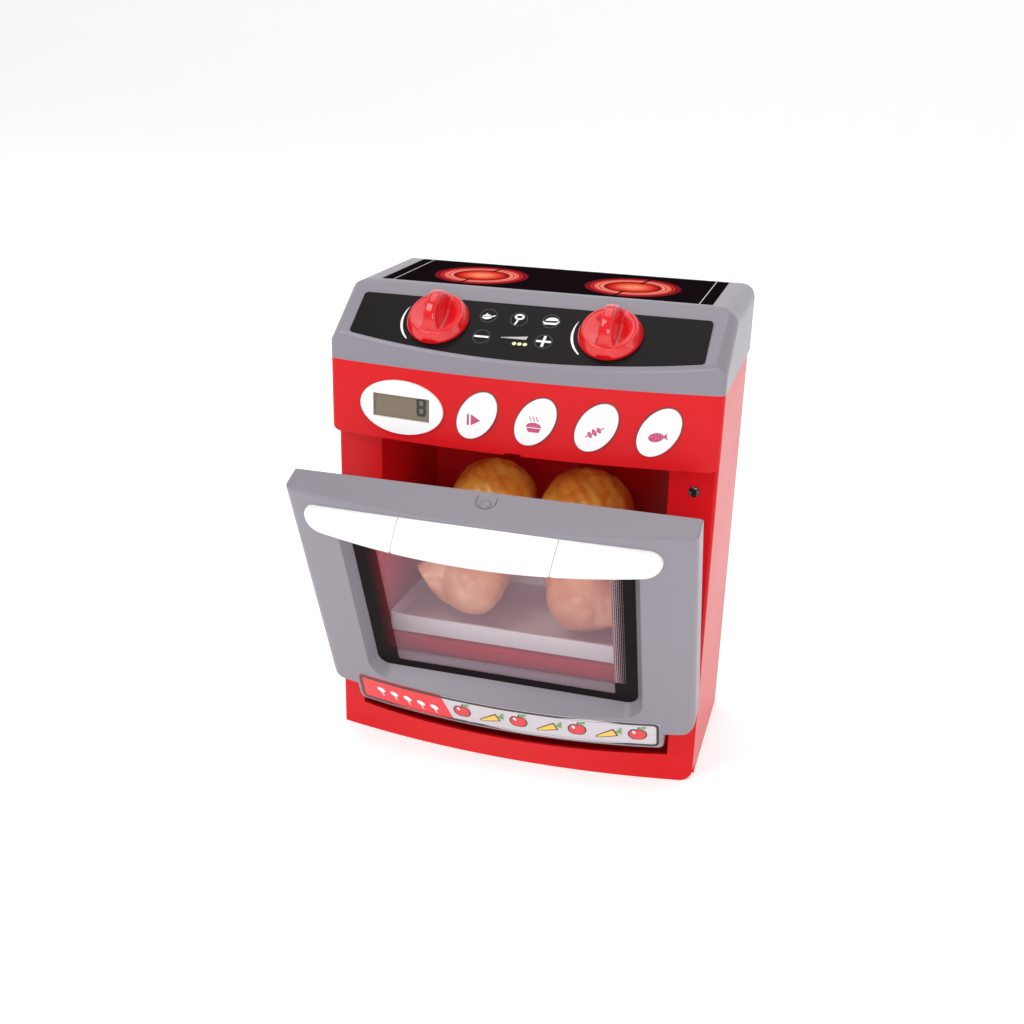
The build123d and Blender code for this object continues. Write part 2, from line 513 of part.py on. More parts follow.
def make_base():
    """Base plate with the battery tray, gearbox stand, speaker grille and screw holes."""
    front = BODY_FRONT + WALL + 0.1
    half = INNER_HALF - 0.1
    rear = BODY_REAR - WALL - 0.1
    plate = block(-half, half, front, rear, 0, BASE_THICK)
    corners = plate.edges().filter_by(Axis.Z)
    plate = fillet(corners, BODY_CORNER - WALL)
    cell_half = BATTERY_LEN / 2 + 3.5
    width = 1.5 * BATTERY_PITCH + 1.0
    box_x = (BATTERY_X - cell_half, BATTERY_X + cell_half)
    box_y = (BATTERY_Y - width, BATTERY_Y + width)
    roof_z = BASE_THICK + 2 * BATTERY_R + 3.3
    bay = block(box_x[0] - THIN, box_x[1] + THIN, box_y[0] - THIN, box_y[1] + THIN, BASE_THICK, roof_z + THIN)
    plate += bay - block(box_x[0], box_x[1], box_y[0], box_y[1], BASE_THICK - 1, roof_z)
    plate -= block(box_x[0], box_x[1], box_y[0], box_y[1], -1, BASE_THICK + 1)
    cover = block(box_x[0] + 0.2, box_x[1] - 0.2, box_y[0] + 0.2, box_y[1] - 0.2, 0, BASE_THICK - 0.5)
    cover += block(box_x[0] + 0.2, box_x[0] + 2.2, BATTERY_Y - 8, BATTERY_Y + 8, BASE_THICK - 0.5, 6)
    for x, y in BASE_SCREWS:
        plate -= rod_z(-1, BASE_THICK + 1, x, y, SCREW_R + FIT) + rod_z(-1, HEAD_H + 0.2, x, y, HEAD_R + 0.2)
    for ring, count in ((0.0, 1), (6.0, 6), (12.0, 12)):
        for k in range(count):
            a = 2 * math.pi * k / count
            plate -= rod_z(-1, BASE_THICK + 1, SPEAKER[0] + ring * math.cos(a),
                           SPEAKER[1] + ring * math.sin(a), GRILLE_R)
    stand_x = (GEARBOX_X[0] + 8, GEARBOX_X[1] - 4)
    stand_top = PINION_PLACE[1] - GEARBOX_HALF
    plate += block(stand_x[0], stand_x[1], SPIT_Y - 1, SPIT_Y + 1, BASE_THICK, stand_top)
    for x in (stand_x[0], stand_x[1] - 2):
        plate += block(x, x + 2, SPIT_Y - 8, SPIT_Y + 8, BASE_THICK, stand_top)
    add("base_plate", plate)
    add("battery_cover", cover)
    cells = []
    contacts = []
    z = BASE_THICK + 0.3 + BATTERY_R
    for k in range(3):
        y = BATTERY_Y + (k - 1) * BATTERY_PITCH
        x0 = BATTERY_X - BATTERY_LEN / 2
        x1 = BATTERY_X + BATTERY_LEN / 2
        cells.append(rod_x(x0, x1 - 1.5, y, z, BATTERY_R) + rod_x(x1 - 1.5, x1, y, z, 2.6))
        for x, way in ((box_x[0], 1), (box_x[1], -1)):
            plate_x = sorted((x, x + way * 0.5))
            spring_x = sorted((x + way * 0.5, x + way * 3.5))
            contact = block(plate_x[0], plate_x[1], y - 5, y + 5, z - 3, z + 5)
            contacts.append(contact + rod_x(spring_x[0], spring_x[1], y, z, 2.4))
    add("battery_cells", *cells)
    add("battery_contacts", *contacts)
    add("base_screws", *[screw_up(x, y, 0.2, SCREW_LONG) for x, y in BASE_SCREWS])
    ring = rod_z(BASE_THICK, BASE_THICK + 6, SPEAKER[0], SPEAKER[1], SPEAKER_R)
    ring -= rod_z(BASE_THICK - 1, BASE_THICK + 1, SPEAKER[0], SPEAKER[1], SPEAKER_R - 3)
    add("speaker", ring + rod_z(BASE_THICK + 6, BASE_THICK + 11, SPEAKER[0], SPEAKER[1], 9))


# ---------------------------------------------------------------- hob cap and hob
def cap_profile(inset):
    """Side outline of the cap in Y and Z."""
    normal = (-math.sin(PANEL_SLOPE), math.cos(PANEL_SLOPE))
    shift = (normal[0] * -inset, normal[1] * -inset)
    top = CAP_TOP - inset
    rear = BODY_REAR - inset
    front = FASCIA_END_Y - FASCIA_BOW - 4.0
    crest_y = PANEL_TOP[0] + 8.0
    low_z = PANEL_LOW[1] - math.tan(PANEL_SLOPE) * (PANEL_LOW[0] - front)
    points = [(rear, BODY_TOP), (rear, top), (crest_y + 6, top),
              (crest_y + shift[0], PANEL_TOP[1] + math.tan(PANEL_SLOPE) * 6.0 + shift[1]),
              (front + shift[0], low_z + shift[1]), (front + shift[0], BODY_TOP)]
    return make_face(Polyline(*points, close=True))


def rounded_top(half, top, radius):
    """Tall outline with two rounded upper corners."""
    low = top - EDGE_DEPTH
    outline = Polyline((-half, low), (-half, top), (half, top), (half, low), close=True)
    face = make_face(outline)
    return fillet(face.vertices().filter_by_position(Axis.Y, top - 0.01, top + 0.01), radius)


def slope_plane():
    """Plane across the control panel's slope, with its origin on the panel's lower edge."""
    along = (0, -math.cos(PANEL_SLOPE), -math.sin(PANEL_SLOPE))
    return Plane((0, PANEL_LOW[0], PANEL_LOW[1]), x_dir=(1, 0, 0), z_dir=along)


def panel_place(x, up, height=0.0):
    """Place on the control panel, up its slope and above its face."""
    normal = (0, -math.sin(PANEL_SLOPE), math.cos(PANEL_SLOPE))
    plane = Plane((0, PANEL_LOW[0], PANEL_LOW[1]), x_dir=(1, 0, 0), z_dir=normal)
    return plane * Pos(x, up, height)


def cap_form():
    """Outer form of the cap, with its side edges rounded along the top and the slope."""
    form = prism_x(cap_profile(0), -FASCIA_HALF, FASCIA_HALF) & prism_z(
        fascia_plan(BODY_REAR), BODY_TOP, CAP_TOP + 1)
    across = [e for e in form.edges() if abs(e.center().X) < 1 and e.center().Z > BODY_TOP + 3]
    form = fillet([e for e in across if abs(e.center().Y - PANEL_TOP[0]) < 20], CREST_R)
    across = [e for e in form.edges() if abs(e.center().X) < 1 and e.center().Z > BODY_TOP + 3]
    form = fillet([e for e in across if e.center().Y < FASCIA_END_Y - 1], BROW_R)
    across = [e for e in form.edges() if abs(e.center().X) < 1 and e.center().Z > BODY_TOP + 3]
    form = fillet([e for e in across if e.center().Y > BODY_REAR - 1], CAP_REAR_R)
    form = form & prism_y(rounded_top(FASCIA_HALF, CAP_TOP, CAP_EDGE), -EDGE_LENGTH, EDGE_LENGTH)
    return form & extrude(slope_plane() * rounded_top(FASCIA_HALF, 0.0, CAP_EDGE), EDGE_LENGTH, both=True)


def cap_hollow():
    """Inside of the cap."""
    inset = FASCIA_HALF - CAP_EDGE * 0.7
    upper = prism_x(cap_profile(WALL), -inset, inset) & prism_z(
        fascia_plan(BODY_REAR - WALL, WALL), BODY_TOP - 1, HOB_FLOOR - WALL)
    lower = prism_z(fascia_plan(BODY_REAR - WALL, WALL), BODY_TOP - 1, BODY_TOP + 8)
    return upper + lower


def panel_sheet(height, thick, edge):
    """Sheet on the slope whose lower edge follows the bow of the fascia."""
    half = PANEL_HALF - edge
    top = PANEL_LENGTH - edge
    low_end = (fascia_y(half) - fascia_y(PANEL_HALF)) / math.cos(PANEL_SLOPE) + edge
    low_mid = (fascia_y(0) - fascia_y(PANEL_HALF)) / math.cos(PANEL_SLOPE) + edge
    sides = Polyline((half, low_end), (half, top), (-half, top), (-half, low_end))
    face = make_face(sides + ThreePointArc((-half, low_end), (0, low_mid), (half, low_end)))
    face = fillet(face.vertices(), 2.5)
    return extrude(panel_place(0, 0, height) * face, thick)


def make_hob():
    """Cap, hob plate, burner boards and the control panel."""
    cap = cap_form() - cap_hollow()
    cap -= block(-HOB_HALF - GAP, HOB_HALF + GAP, HOB_FRONT - GAP, HOB_REAR + GAP, HOB_FLOOR, CAP_TOP + 1)
    cap -= panel_sheet(-PANEL_THICK, PANEL_THICK + 2, -0.2)
    for side in (-1, 1):
        cap -= rod_z(HOB_FLOOR - 2 * WALL, CAP_TOP, side * BURNER_X, BURNER_Y, BURNER_R - 4)
        cap -= panel_place(KNOB_SHIFT + side * KNOB_X, KNOB_UP, -5) * Cylinder(KNOB_SHAFT + FIT, 20)
    for x, y in CAP_SCREWS:
        post = rod_z(BODY_TOP, HOB_FLOOR - WALL, x, y, BOSS_R)
        cap += post - rod_z(BODY_TOP - 1, BODY_TOP + SCREW_LONG + 2, x, y, SCREW_R + FIT)
    add("hob_cap", cap)
    plate = block(-HOB_HALF, HOB_HALF, HOB_FRONT, HOB_REAR, HOB_FLOOR, CAP_TOP)
    plate = fillet(plate.edges().filter_by(Axis.Z), 2.0)
    add("hob_plate", plate)
    for side, name in ((-1, "left"), (1, "right")):
        floor = HOB_FLOOR - WALL
        board = rod_z(floor - 1.6, floor, side * BURNER_X, BURNER_Y, BURNER_R)
        for k in range(6):
            a = math.pi * k / 3
            x = side * BURNER_X + 14 * math.cos(a)
            y = BURNER_Y + 14 * math.sin(a)
            board += rod_z(floor, floor + 1.8, x, y, 1.6)
        add("burner_board_" + name, board)
    sheet = panel_sheet(-PANEL_THICK, PANEL_THICK, 0)
    for side in (-1, 1):
        sheet -= panel_place(KNOB_SHIFT + side * KNOB_X, KNOB_UP, 0) * Cylinder(KNOB_SHAFT + 0.6, 10)
    add("control_panel", sheet)
    tab_low = BODY_TOP - WALL
    add("cap_screws", *[screw_up(x, y, tab_low - HEAD_H, SCREW_LONG) for x, y in CAP_SCREWS])


def make_knob(side, name):
    """Dished knob with a tall finger fin, its shaft, retaining washer and screw."""
    dish_r = KNOB_RIM - KNOB_RIM_WIDE
    dish_z = KNOB_BASE - KNOB_DISH
    side_view = Polyline((0, dish_z), (0, 0), (KNOB_R, 0), (KNOB_R, KNOB_SKIRT),
                         (KNOB_RIM, KNOB_BASE), (dish_r, KNOB_BASE))
    side_view += ThreePointArc((dish_r, KNOB_BASE), (dish_r / 2, KNOB_BASE - 0.75 * KNOB_DISH), (0, dish_z))
    base = revolve(Plane.XZ * make_face(side_view), axis=Axis.Z)
    base = fillet([e for e in base.edges() if abs(e.center().Z - KNOB_BASE) < 0.01], 0.8)
    fin_end = dish_r + 0.6
    fin_side = Plane.YZ * make_face(
        Polyline((-fin_end, dish_z - 1), (fin_end, dish_z - 1)) + ThreePointArc(
            (fin_end, dish_z - 1), (0, KNOB_HEIGHT), (-fin_end, dish_z - 1)))
    fin = extrude(fin_side, KNOB_FIN / 2, both=True)
    upper = [e for e in fin.edges() if e.center().Z > KNOB_BASE]
    rims = [e for e in upper if abs(abs(e.center().X) - KNOB_FIN / 2) < 0.1]
    fin = fillet(rims, 3.0)
    shaft_end = -(2 * WALL + 3.0)
    shaft = Pos(0, 0, shaft_end) * Cylinder(
        KNOB_SHAFT, 1 - shaft_end, align=(Align.CENTER, Align.CENTER, Align.MIN))
    knob = base + fin + shaft
    knob -= Pos(0, 0, shaft_end) * Cylinder(SCREW_R, 16)
    wall_under = -PANEL_THICK - WALL - 0.6
    washer = Pos(0, 0, wall_under - 1.2 - KNOB_LIFT) * (
        Cylinder(8.0, 1.2, align=(Align.CENTER, Align.CENTER, Align.MIN)) - Cylinder(KNOB_SHAFT, 10))
    screw = Pos(0, 0, shaft_end - HEAD_H) * Cylinder(
        4.6, HEAD_H, align=(Align.CENTER, Align.CENTER, Align.MIN))
    screw += Pos(0, 0, shaft_end) * Cylinder(SCREW_R, 7, align=(Align.CENTER, Align.CENTER, Align.MIN))
    place = panel_place(KNOB_SHIFT + side * KNOB_X, KNOB_UP, KNOB_LIFT)
    add("knob_" + name, place * knob)
    add("knob_washer_" + name, place * washer)
    add("knob_screw_" + name, place * screw)


# ---------------------------------------------------------------- fascia, display, buttons
def oval(x, z, radii, lean=0.0):
    """Leaning ellipse drawn in X and Z."""
    return Pos(x, z) * Rot(0, 0, lean) * Ellipse(radii[0], radii[1])


def button_x(k):
    """Middle of the k-th button."""
    return BUTTON_FIRST + k * BUTTON_PITCH


def behind_glass(lap):
    """Block from the display's glass back to the board, wider than the window by a lap."""
    half = LCD_WINDOW[0] / 2 + lap
    tall = LCD_WINDOW[1] / 2 + lap
    glass_y = fascia_y(LCD_X) - LCD_PROUD + LCD_SUNK
    lean = math.atan2(fascia_y(LCD_X + half) - fascia_y(LCD_X - half), 2 * half)
    body = block(LCD_X - half, LCD_X + half, glass_y - half, BOARD_FRONT, LCD_Z - tall, LCD_Z + tall)
    in_front = Pos(LCD_X, glass_y, LCD_Z) * Rot(0, 0, math.degrees(lean)) * Box(
        FAR, FAR, FAR, align=(Align.CENTER, Align.MAX, Align.CENTER))
    return body - in_front


def make_fascia():
    """Red bowed fascia with its display, buttons, rubber mat and board."""
    box = prism_z(fascia_plan(BODY_FRONT), FASCIA_BOTTOM, BODY_TOP)
    face = Pos(0, FASCIA_BOTTOM + FAR / 2) * Rectangle(2 * FASCIA_HALF, FAR)
    low = face.vertices().filter_by_position(Axis.Y, FASCIA_BOTTOM - 0.01, FASCIA_BOTTOM + 0.01)
    box = box & prism_y(fillet(low, FASCIA_LOW_CORNER), -FAR, 0)
    hollow = prism_z(fascia_plan(BODY_FRONT + 1, WALL), FASCIA_BOTTOM + WALL, BODY_TOP + 1)
    fascia = box - hollow
    fascia -= block(-NUB_R - 1.4, NUB_R + 1.4, -FAR, DOOR_REAR - NUB_Y + NUB_R + 2.4,
                    FASCIA_BOTTOM - 1, FASCIA_BOTTOM + NUB_HIGH - 0.4)
    radii = (LCD_OVAL[0] - LCD_RIM, LCD_OVAL[1] - LCD_RIM)
    fascia -= prism_y(oval(LCD_X, LCD_Z, radii), -FAR, BOARD_FRONT)
    for k in range(BUTTON_COUNT):
        hole = oval(button_x(k), BUTTON_Z, (BUTTON_OVAL[0] + GAP, BUTTON_OVAL[1] + GAP), BUTTON_LEAN)
        fascia -= prism_y(hole, -FAR, BOARD_FRONT)
    post_x = FASCIA_HALF - POST_INSET[0]
    post_low = FASCIA_BOTTOM + POST_INSET[1]
    post_high = BODY_TOP - POST_INSET[2]
    posts = [(x, z) for x in (-post_x, post_x) for z in (post_low, post_high)]
    posts += [(BUTTON_FIRST - BUTTON_REACH - POST_CLEAR, post_low), (button_x(1.5), post_high)]
    for x, z in posts:
        fascia += rod_y(fascia_y(abs(x) + POST_R, WALL) - 1, BOARD_FRONT, x, z, POST_R)
    add("fascia", fascia)
    rim = fascia_plan(BODY_FRONT, -LCD_PROUD)
    proud = prism_z(rim, FASCIA_BOTTOM, BODY_TOP) - prism_z(
        fascia_plan(BODY_FRONT + 1), FASCIA_BOTTOM - 1, BODY_TOP + 1)
    bezel = proud & prism_y(oval(LCD_X, LCD_Z, LCD_OVAL), -FAR, 0)
    spigot = prism_z(rim, FASCIA_BOTTOM, BODY_TOP) & prism_y(
        oval(LCD_X, LCD_Z, (radii[0] - 0.1, radii[1] - 0.1)), -FAR, LCD_BACK)
    bezel += spigot
    bezel -= prism_y(Pos(LCD_X, LCD_Z) * Rectangle(*LCD_WINDOW), -FAR, 0)
    bezel -= behind_glass(LCD_LAP + GAP / 2)
    add("lcd_bezel", bezel)
    add("lcd_module", behind_glass(LCD_LAP))
    travel_end = BOARD_FRONT - MEMBRANE - 1.2
    for k in range(BUTTON_COUNT):
        x = button_x(k)
        flange_y = fascia_y(abs(x) + BUTTON_REACH, WALL) + GAP
        head = prism_z(fascia_plan(BODY_FRONT, -BUTTON_PROUD), FASCIA_BOTTOM, BODY_TOP) & prism_y(
            oval(x, BUTTON_Z, BUTTON_OVAL, BUTTON_LEAN), -FAR, flange_y)
        big = (BUTTON_OVAL[0] + FLANGE, BUTTON_OVAL[1] + FLANGE)
        head += prism_y(oval(x, BUTTON_Z, big, BUTTON_LEAN), flange_y, flange_y + 1.0)
        stem_end = travel_end - BUTTON_TRAVEL
        if stem_end > flange_y + 1.0:
            head += rod_y(flange_y + 0.5, stem_end, x, BUTTON_Z, 4.0)
        add("button_%d" % (k + 1), head)
    mat_x = (button_x(0) - 12.0, button_x(BUTTON_COUNT - 1) + 12.0)
    mat = block(mat_x[0], mat_x[1], BOARD_FRONT - MEMBRANE, BOARD_FRONT, BUTTON_Z - 10, BUTTON_Z + 10)
    for k in range(BUTTON_COUNT):
        mat += rod_y(BOARD_FRONT - MEMBRANE - 1.0, BOARD_FRONT, button_x(k), BUTTON_Z, 4.5)
    add("button_mat", mat)
    board_rear = BOARD_FRONT + BOARD_THICK
    board_half = FASCIA_HALF - BOARD_INSET[0]
    board = block(-board_half, board_half, BOARD_FRONT, board_rear,
                  FASCIA_BOTTOM + BOARD_INSET[1], BODY_TOP - BOARD_INSET[2])
    board += block(LCD_X - 19, LCD_X + 9, board_rear, BODY_FRONT, LCD_Z - 6, LCD_Z + 8)
    add("main_board", board)


# ---------------------------------------------------------------- door
def door_place():
    """Turn that stands the closed door open."""
    return Pos(0, PIVOT_Y, PIVOT_Z) * Rot(DOOR_TILT, 0, 0) * Pos(0, -PIVOT_Y, -PIVOT_Z)


def door_front(x, inset=0.0):
    """Front of the closed door at x."""
    rise = DOOR_MID_T - DOOR_EDGE_T
    return bow_y(x, DOOR_HALF, DOOR_REAR - DOOR_EDGE_T, rise, inset)


def door_form(inset, rear_y):
    """Closed door's outer form, moved inwards by an inset."""
    rise = DOOR_MID_T - DOOR_EDGE_T
    plan = bowed_plan(DOOR_HALF, DOOR_REAR - DOOR_EDGE_T, rise, rear_y, DOOR_CORNER, inset)
    wide_low = PIVOT_Z - WIDE_DROP
    half = DOOR_HALF - inset
    wide = make_face(Polyline((-half, wide_low + inset), (half, wide_low + inset),
                              (half, DOOR_TOP - inset), (-half, DOOR_TOP - inset), close=True))
    low = wide.vertices().filter_by_position(Axis.Y, wide_low + inset - 0.01, wide_low + inset + 0.01)
    wide = fillet(low, WIDE_CORNER - inset)
    tab_half = TAB_HALF - inset
    tab_low = PIVOT_Z - TAB_DROP + inset
    tab = make_face(Polyline((-tab_half, tab_low), (tab_half, tab_low),
                             (tab_half, PIVOT_Z + 5), (-tab_half, PIVOT_Z + 5), close=True))
    low = tab.vertices().filter_by_position(Axis.Y, tab_low - 0.01, tab_low + 0.01)
    tab = fillet(low, TAB_CORNER - inset)
    tall = prism_z(plan, PIVOT_Z - TAB_DROP - 1, DOOR_TOP + 1)
    return tall & prism_y(wide + tab, -FAR, DOOR_REAR + 5)


def door_core(inset):
    """Tall form inside the door's bowed front, for what lies on that front."""
    rise = DOOR_MID_T - DOOR_EDGE_T
    plan = bowed_plan(DOOR_HALF, DOOR_REAR - DOOR_EDGE_T, rise, FAR, DOOR_CORNER, inset)
    return prism_z(plan, 0, FAR)


def swing_corner():
    """What is cut from the lower rear corner so that it swings clear of the front plate."""
    corner = block(TAB_HALF, DOOR_HALF + 1, PIVOT_Y, DOOR_REAR + 5, PIVOT_Z - 30, PIVOT_Z)
    corner -= rod_x(TAB_HALF - 1, DOOR_HALF + 2, PIVOT_Y, PIVOT_Z, PIVOT_BACK)
    slot = block(EAR[0] - 0.6, EAR[1] + 0.6, PIVOT_Y - EAR_R - 0.5, DOOR_REAR + 5,
                 PIVOT_Z - 30, PIVOT_Z + EAR_R + 0.6)
    return both_sides(corner + slot)


def window_face(grow, low=WINDOW_LOW):
    """Window outline in X and Z, grown by a margin."""
    half = WINDOW_HALF + grow
    z0 = DOOR_TOP - low - grow
    z1 = DOOR_TOP - WINDOW_HIGH + grow
    return Pos(0, (z0 + z1) / 2) * RectangleRounded(2 * half, z1 - z0, WINDOW_CORNER + grow)


def window_funnel(grow):
    """Window recess from the pane's front outwards, flared by the bevel."""
    y = DOOR_REAR - WINDOW_T
    plane = Plane((0, y, 0), x_dir=(1, 0, 0), z_dir=(0, -1, 0))
    return extrude(plane * window_face(grow), 20, taper=-BEVEL)


def door_boss_places():
    """Screw places of the door's two shells."""
    return [(sx * (DOOR_HALF - DOOR_BOSS_INSET), z) for sx in (-1, 1) for z in DOOR_BOSS_Z]


def make_door():
    """Door front shell, rear shell, pane, printed mask, strip, handle and fixings."""
    place = door_place()
    shell = door_form(0, DOOR_REAR)
    edges = [e for e in shell.edges() if e.center().Z > DOOR_TOP - 0.1 and abs(e.center().X) < 1
             and e.center().Y < DOOR_REAR - 5]
    shell = fillet(edges, 1.6)
    outer = shell
    shell = shell - door_form(WALL, DOOR_REAR + 4)
    shell += (window_funnel(WALL) & outer)
    shell -= window_funnel(0)
    for x, z in door_boss_places():
        front = door_front(x, WALL) - 0.5
        shell += rod_y(front, DOOR_REAR - THIN, x, z, BOSS_R)
        shell -= rod_y(DOOR_REAR - THIN - 9, DOOR_REAR + 1, x, z, SCREW_R + FIT)
    shell -= swing_corner()
    shell -= both_sides(rod_x(TAB_HALF + 0.2, EAR[1] + PIN_BOSS_END + 0.3, PIVOT_Y, PIVOT_Z,
                              PIN_BOSS_R + 0.25))
    nub = ellipsoid((0, DOOR_REAR - NUB_Y, DOOR_TOP), (NUB_R, NUB_R, NUB_HIGH))
    shell += nub & block(-NUB_R - 1, NUB_R + 1, -FAR, 0, DOOR_TOP, DOOR_TOP + NUB_HIGH + 1)
    tongue = SlotOverall(*TONGUE, rotation=90)
    tongue -= SlotOverall(*[size - 2 * TONGUE_SLOT[0] for size in TONGUE], rotation=90)
    groove = prism_z(Pos(0, DOOR_REAR - 2.0) * tongue, DOOR_TOP - TONGUE_SLOT[1], DOOR_TOP + 0.01)
    shell -= groove & block(-TONGUE[1], TONGUE[1], DOOR_REAR - TONGUE[0], DOOR_REAR - 2 * THIN, 0, FAR)
    add("door_frame", place * shell)

    tunnel_top = WINDOW_HIGH + TUNNEL_INSET[2]
    tunnel_mid = Pos(0, DOOR_TOP - (TUNNEL_LOW + tunnel_top) / 2)
    tunnel_high = TUNNEL_LOW - tunnel_top
    tunnel_in = tunnel_mid * RectangleRounded(2 * TUNNEL_HALF, tunnel_high, 6.0)
    tunnel_out = tunnel_mid * RectangleRounded(
        2 * (TUNNEL_HALF + THIN), tunnel_high + 2 * THIN, 6.0 + THIN)
    pane_rear = DOOR_REAR - WINDOW_T + PANE_THICK
    inner = door_form(WALL + 0.1, DOOR_REAR) & block(-FAR, FAR, DOOR_REAR - THIN, DOOR_REAR, 0, FAR)
    step_y = pane_rear + TUNNEL_DEEP
    step_half = TUNNEL_HALF - STEP_INSET
    step_low = DOOR_TOP - TUNNEL_LOW - TUNNEL_STEP
    inner += prism_y(tunnel_out, pane_rear, DOOR_REAR)
    inner += block(-step_half - THIN, step_half + THIN, step_y - THIN, DOOR_REAR - THIN / 2,
                   step_low - THIN, step_low + TUNNEL_STEP - THIN / 2)
    inner -= prism_y(tunnel_in, pane_rear - 1, DOOR_REAR + 1)
    inner -= block(-step_half, step_half, step_y, DOOR_REAR + 1, step_low, step_low + TUNNEL_STEP + 1)
    for x, z in door_boss_places():
        inner -= rod_y(DOOR_REAR - THIN - 1, DOOR_REAR + 1, x, z, SCREW_R + FIT)
        inner -= rod_y(DOOR_REAR - 1.0, DOOR_REAR + 1, x, z, HEAD_R + 0.2)
    inner -= swing_corner()
    for x0, x1 in ((TAB_HALF + 0.5, EAR[0] - 0.6), (EAR[1] + 0.6, EAR[1] + PIN_BOSS_END)):
        boss = rod_x(x0, x1, PIVOT_Y, PIVOT_Z, PIN_BOSS_R) + block(
            x0, x1, PIVOT_Y, DOOR_REAR - THIN / 2, PIVOT_Z - 1, PIVOT_Z + PIN_BOSS_R)
        boss -= rod_x(x0 - 1, x1 + 1, PIVOT_Y, PIVOT_Z, PIN_R)
        inner += both_sides(boss)
    add("door_inner", place * inner)
    pin = rod_x(TAB_HALF + 0.5, EAR[1] + PIN_BOSS_END, PIVOT_Y, PIVOT_Z, PIN_R)
    add("hinge_pins", place * both_sides(pin))
    screws = []
    for x, z in door_boss_places():
        screws.append(place * (rod_y(DOOR_REAR - 1.0, DOOR_REAR - 0.1, x, z, HEAD_R)
                               + rod_y(DOOR_REAR - 8.5, DOOR_REAR - 1.0, x, z, SCREW_R)))
    add("door_screws", *screws)

    pane_front = DOOR_REAR - WINDOW_T
    pane_face = window_face(PANE_LAP)
    add("window_pane", place * prism_y(pane_face, pane_front, pane_rear))
    clear_top = WINDOW_HIGH + CLEAR_INSET[2]
    clear = Pos(0, DOOR_TOP - (CLEAR_LOW + clear_top) / 2) * RectangleRounded(
        2 * CLEAR_HALF, CLEAR_LOW - clear_top, 2.0)
    mask = window_face(-0.2) - clear
    add("window_border", place * prism_y(mask, pane_front - MASK_THICK, pane_front))

    strip = door_form(-STRIP_THICK, DOOR_REAR) - door_core(-GLUE)
    strip_mid = DOOR_TOP - (STRIP_TOP + STRIP_LOW) / 2
    strip_face = Pos(0, strip_mid) * RectangleRounded(2 * STRIP_HALF, STRIP_LOW - STRIP_TOP, 3.0)
    add("door_strip", place * (strip & prism_y(strip_face, -FAR, DOOR_REAR - 10)))
    make_handle(place)


def handle_face():
    """Front outline of the whole handle in X and Z."""
    half = HANDLE_HALF
    top = [DOOR_TOP - s for s in HANDLE_TOP]
    low = [DOOR_TOP - s for s in HANDLE_LOW]
    ends = Polyline((half, low[1]), (half, top[1]))
    ends += ThreePointArc((half, top[1]), (0, top[0]), (-half, top[1]))
    ends += Polyline((-half, top[1]), (-half, low[1]))
    ends += ThreePointArc((-half, low[1]), (0, low[0]), (half, low[1]))
    face = make_face(ends)
    return Pos(HANDLE_MID, 0) * fillet(face.vertices(), HANDLE_END)


def make_handle(place):
    """White handle in three pieces that meet at two slanted seams."""
    slab = door_form(-HANDLE_THICK, DOOR_REAR) - door_core(0)
    bar = slab & prism_y(handle_face(), -FAR, DOOR_REAR - 10)
    z0 = DOOR_TOP - HANDLE_LOW[0] - 5
    z1 = DOOR_TOP + 5
    def zone(left, right):
        pts = [(left[1], z0), (right[1], z0), (right[0], z1), (left[0], z1)]
        return prism_y(make_face(Polyline(*pts, close=True)), -FAR, 0)
    far_left = (-FAR, -FAR)
    far_right = (FAR, FAR)
    nudge = 0.1
    left_in = (SEAM_LEFT[0] + nudge, SEAM_LEFT[1] + nudge)
    right_in = (SEAM_RIGHT[0] - nudge, SEAM_RIGHT[1] - nudge)
    pieces = {"handle_left": (far_left, SEAM_LEFT), "handle_grip": (left_in, right_in),
              "handle_right": (SEAM_RIGHT, far_right)}
    end_x = HANDLE_HALF - 12.5
    rows = ((HANDLE_MID - end_x, 16.0), (SEAM_LEFT[1] - 7.0, 12.0), (SEAM_RIGHT[0] + 15.5, 12.0),
            (HANDLE_MID + end_x, 16.0))
    holes = [(x, DOOR_TOP - drop) for x, drop in rows]
    for name, (left, right) in pieces.items():
        piece = bar & zone(left, right)
        rims = [e for e in piece.edges() if e.center().Y < door_front(e.center().X) - HANDLE_THICK + 0.4
                and e.length > 15 and abs(e.tangent_at(0.5).X) > 0.7]
        piece = chamfer(rims, 2.0)
        for x, z in holes:
            piece -= rod_y(door_front(x) - 3.5, DOOR_REAR, x, z, SCREW_R + FIT)
        add(name, place * piece)


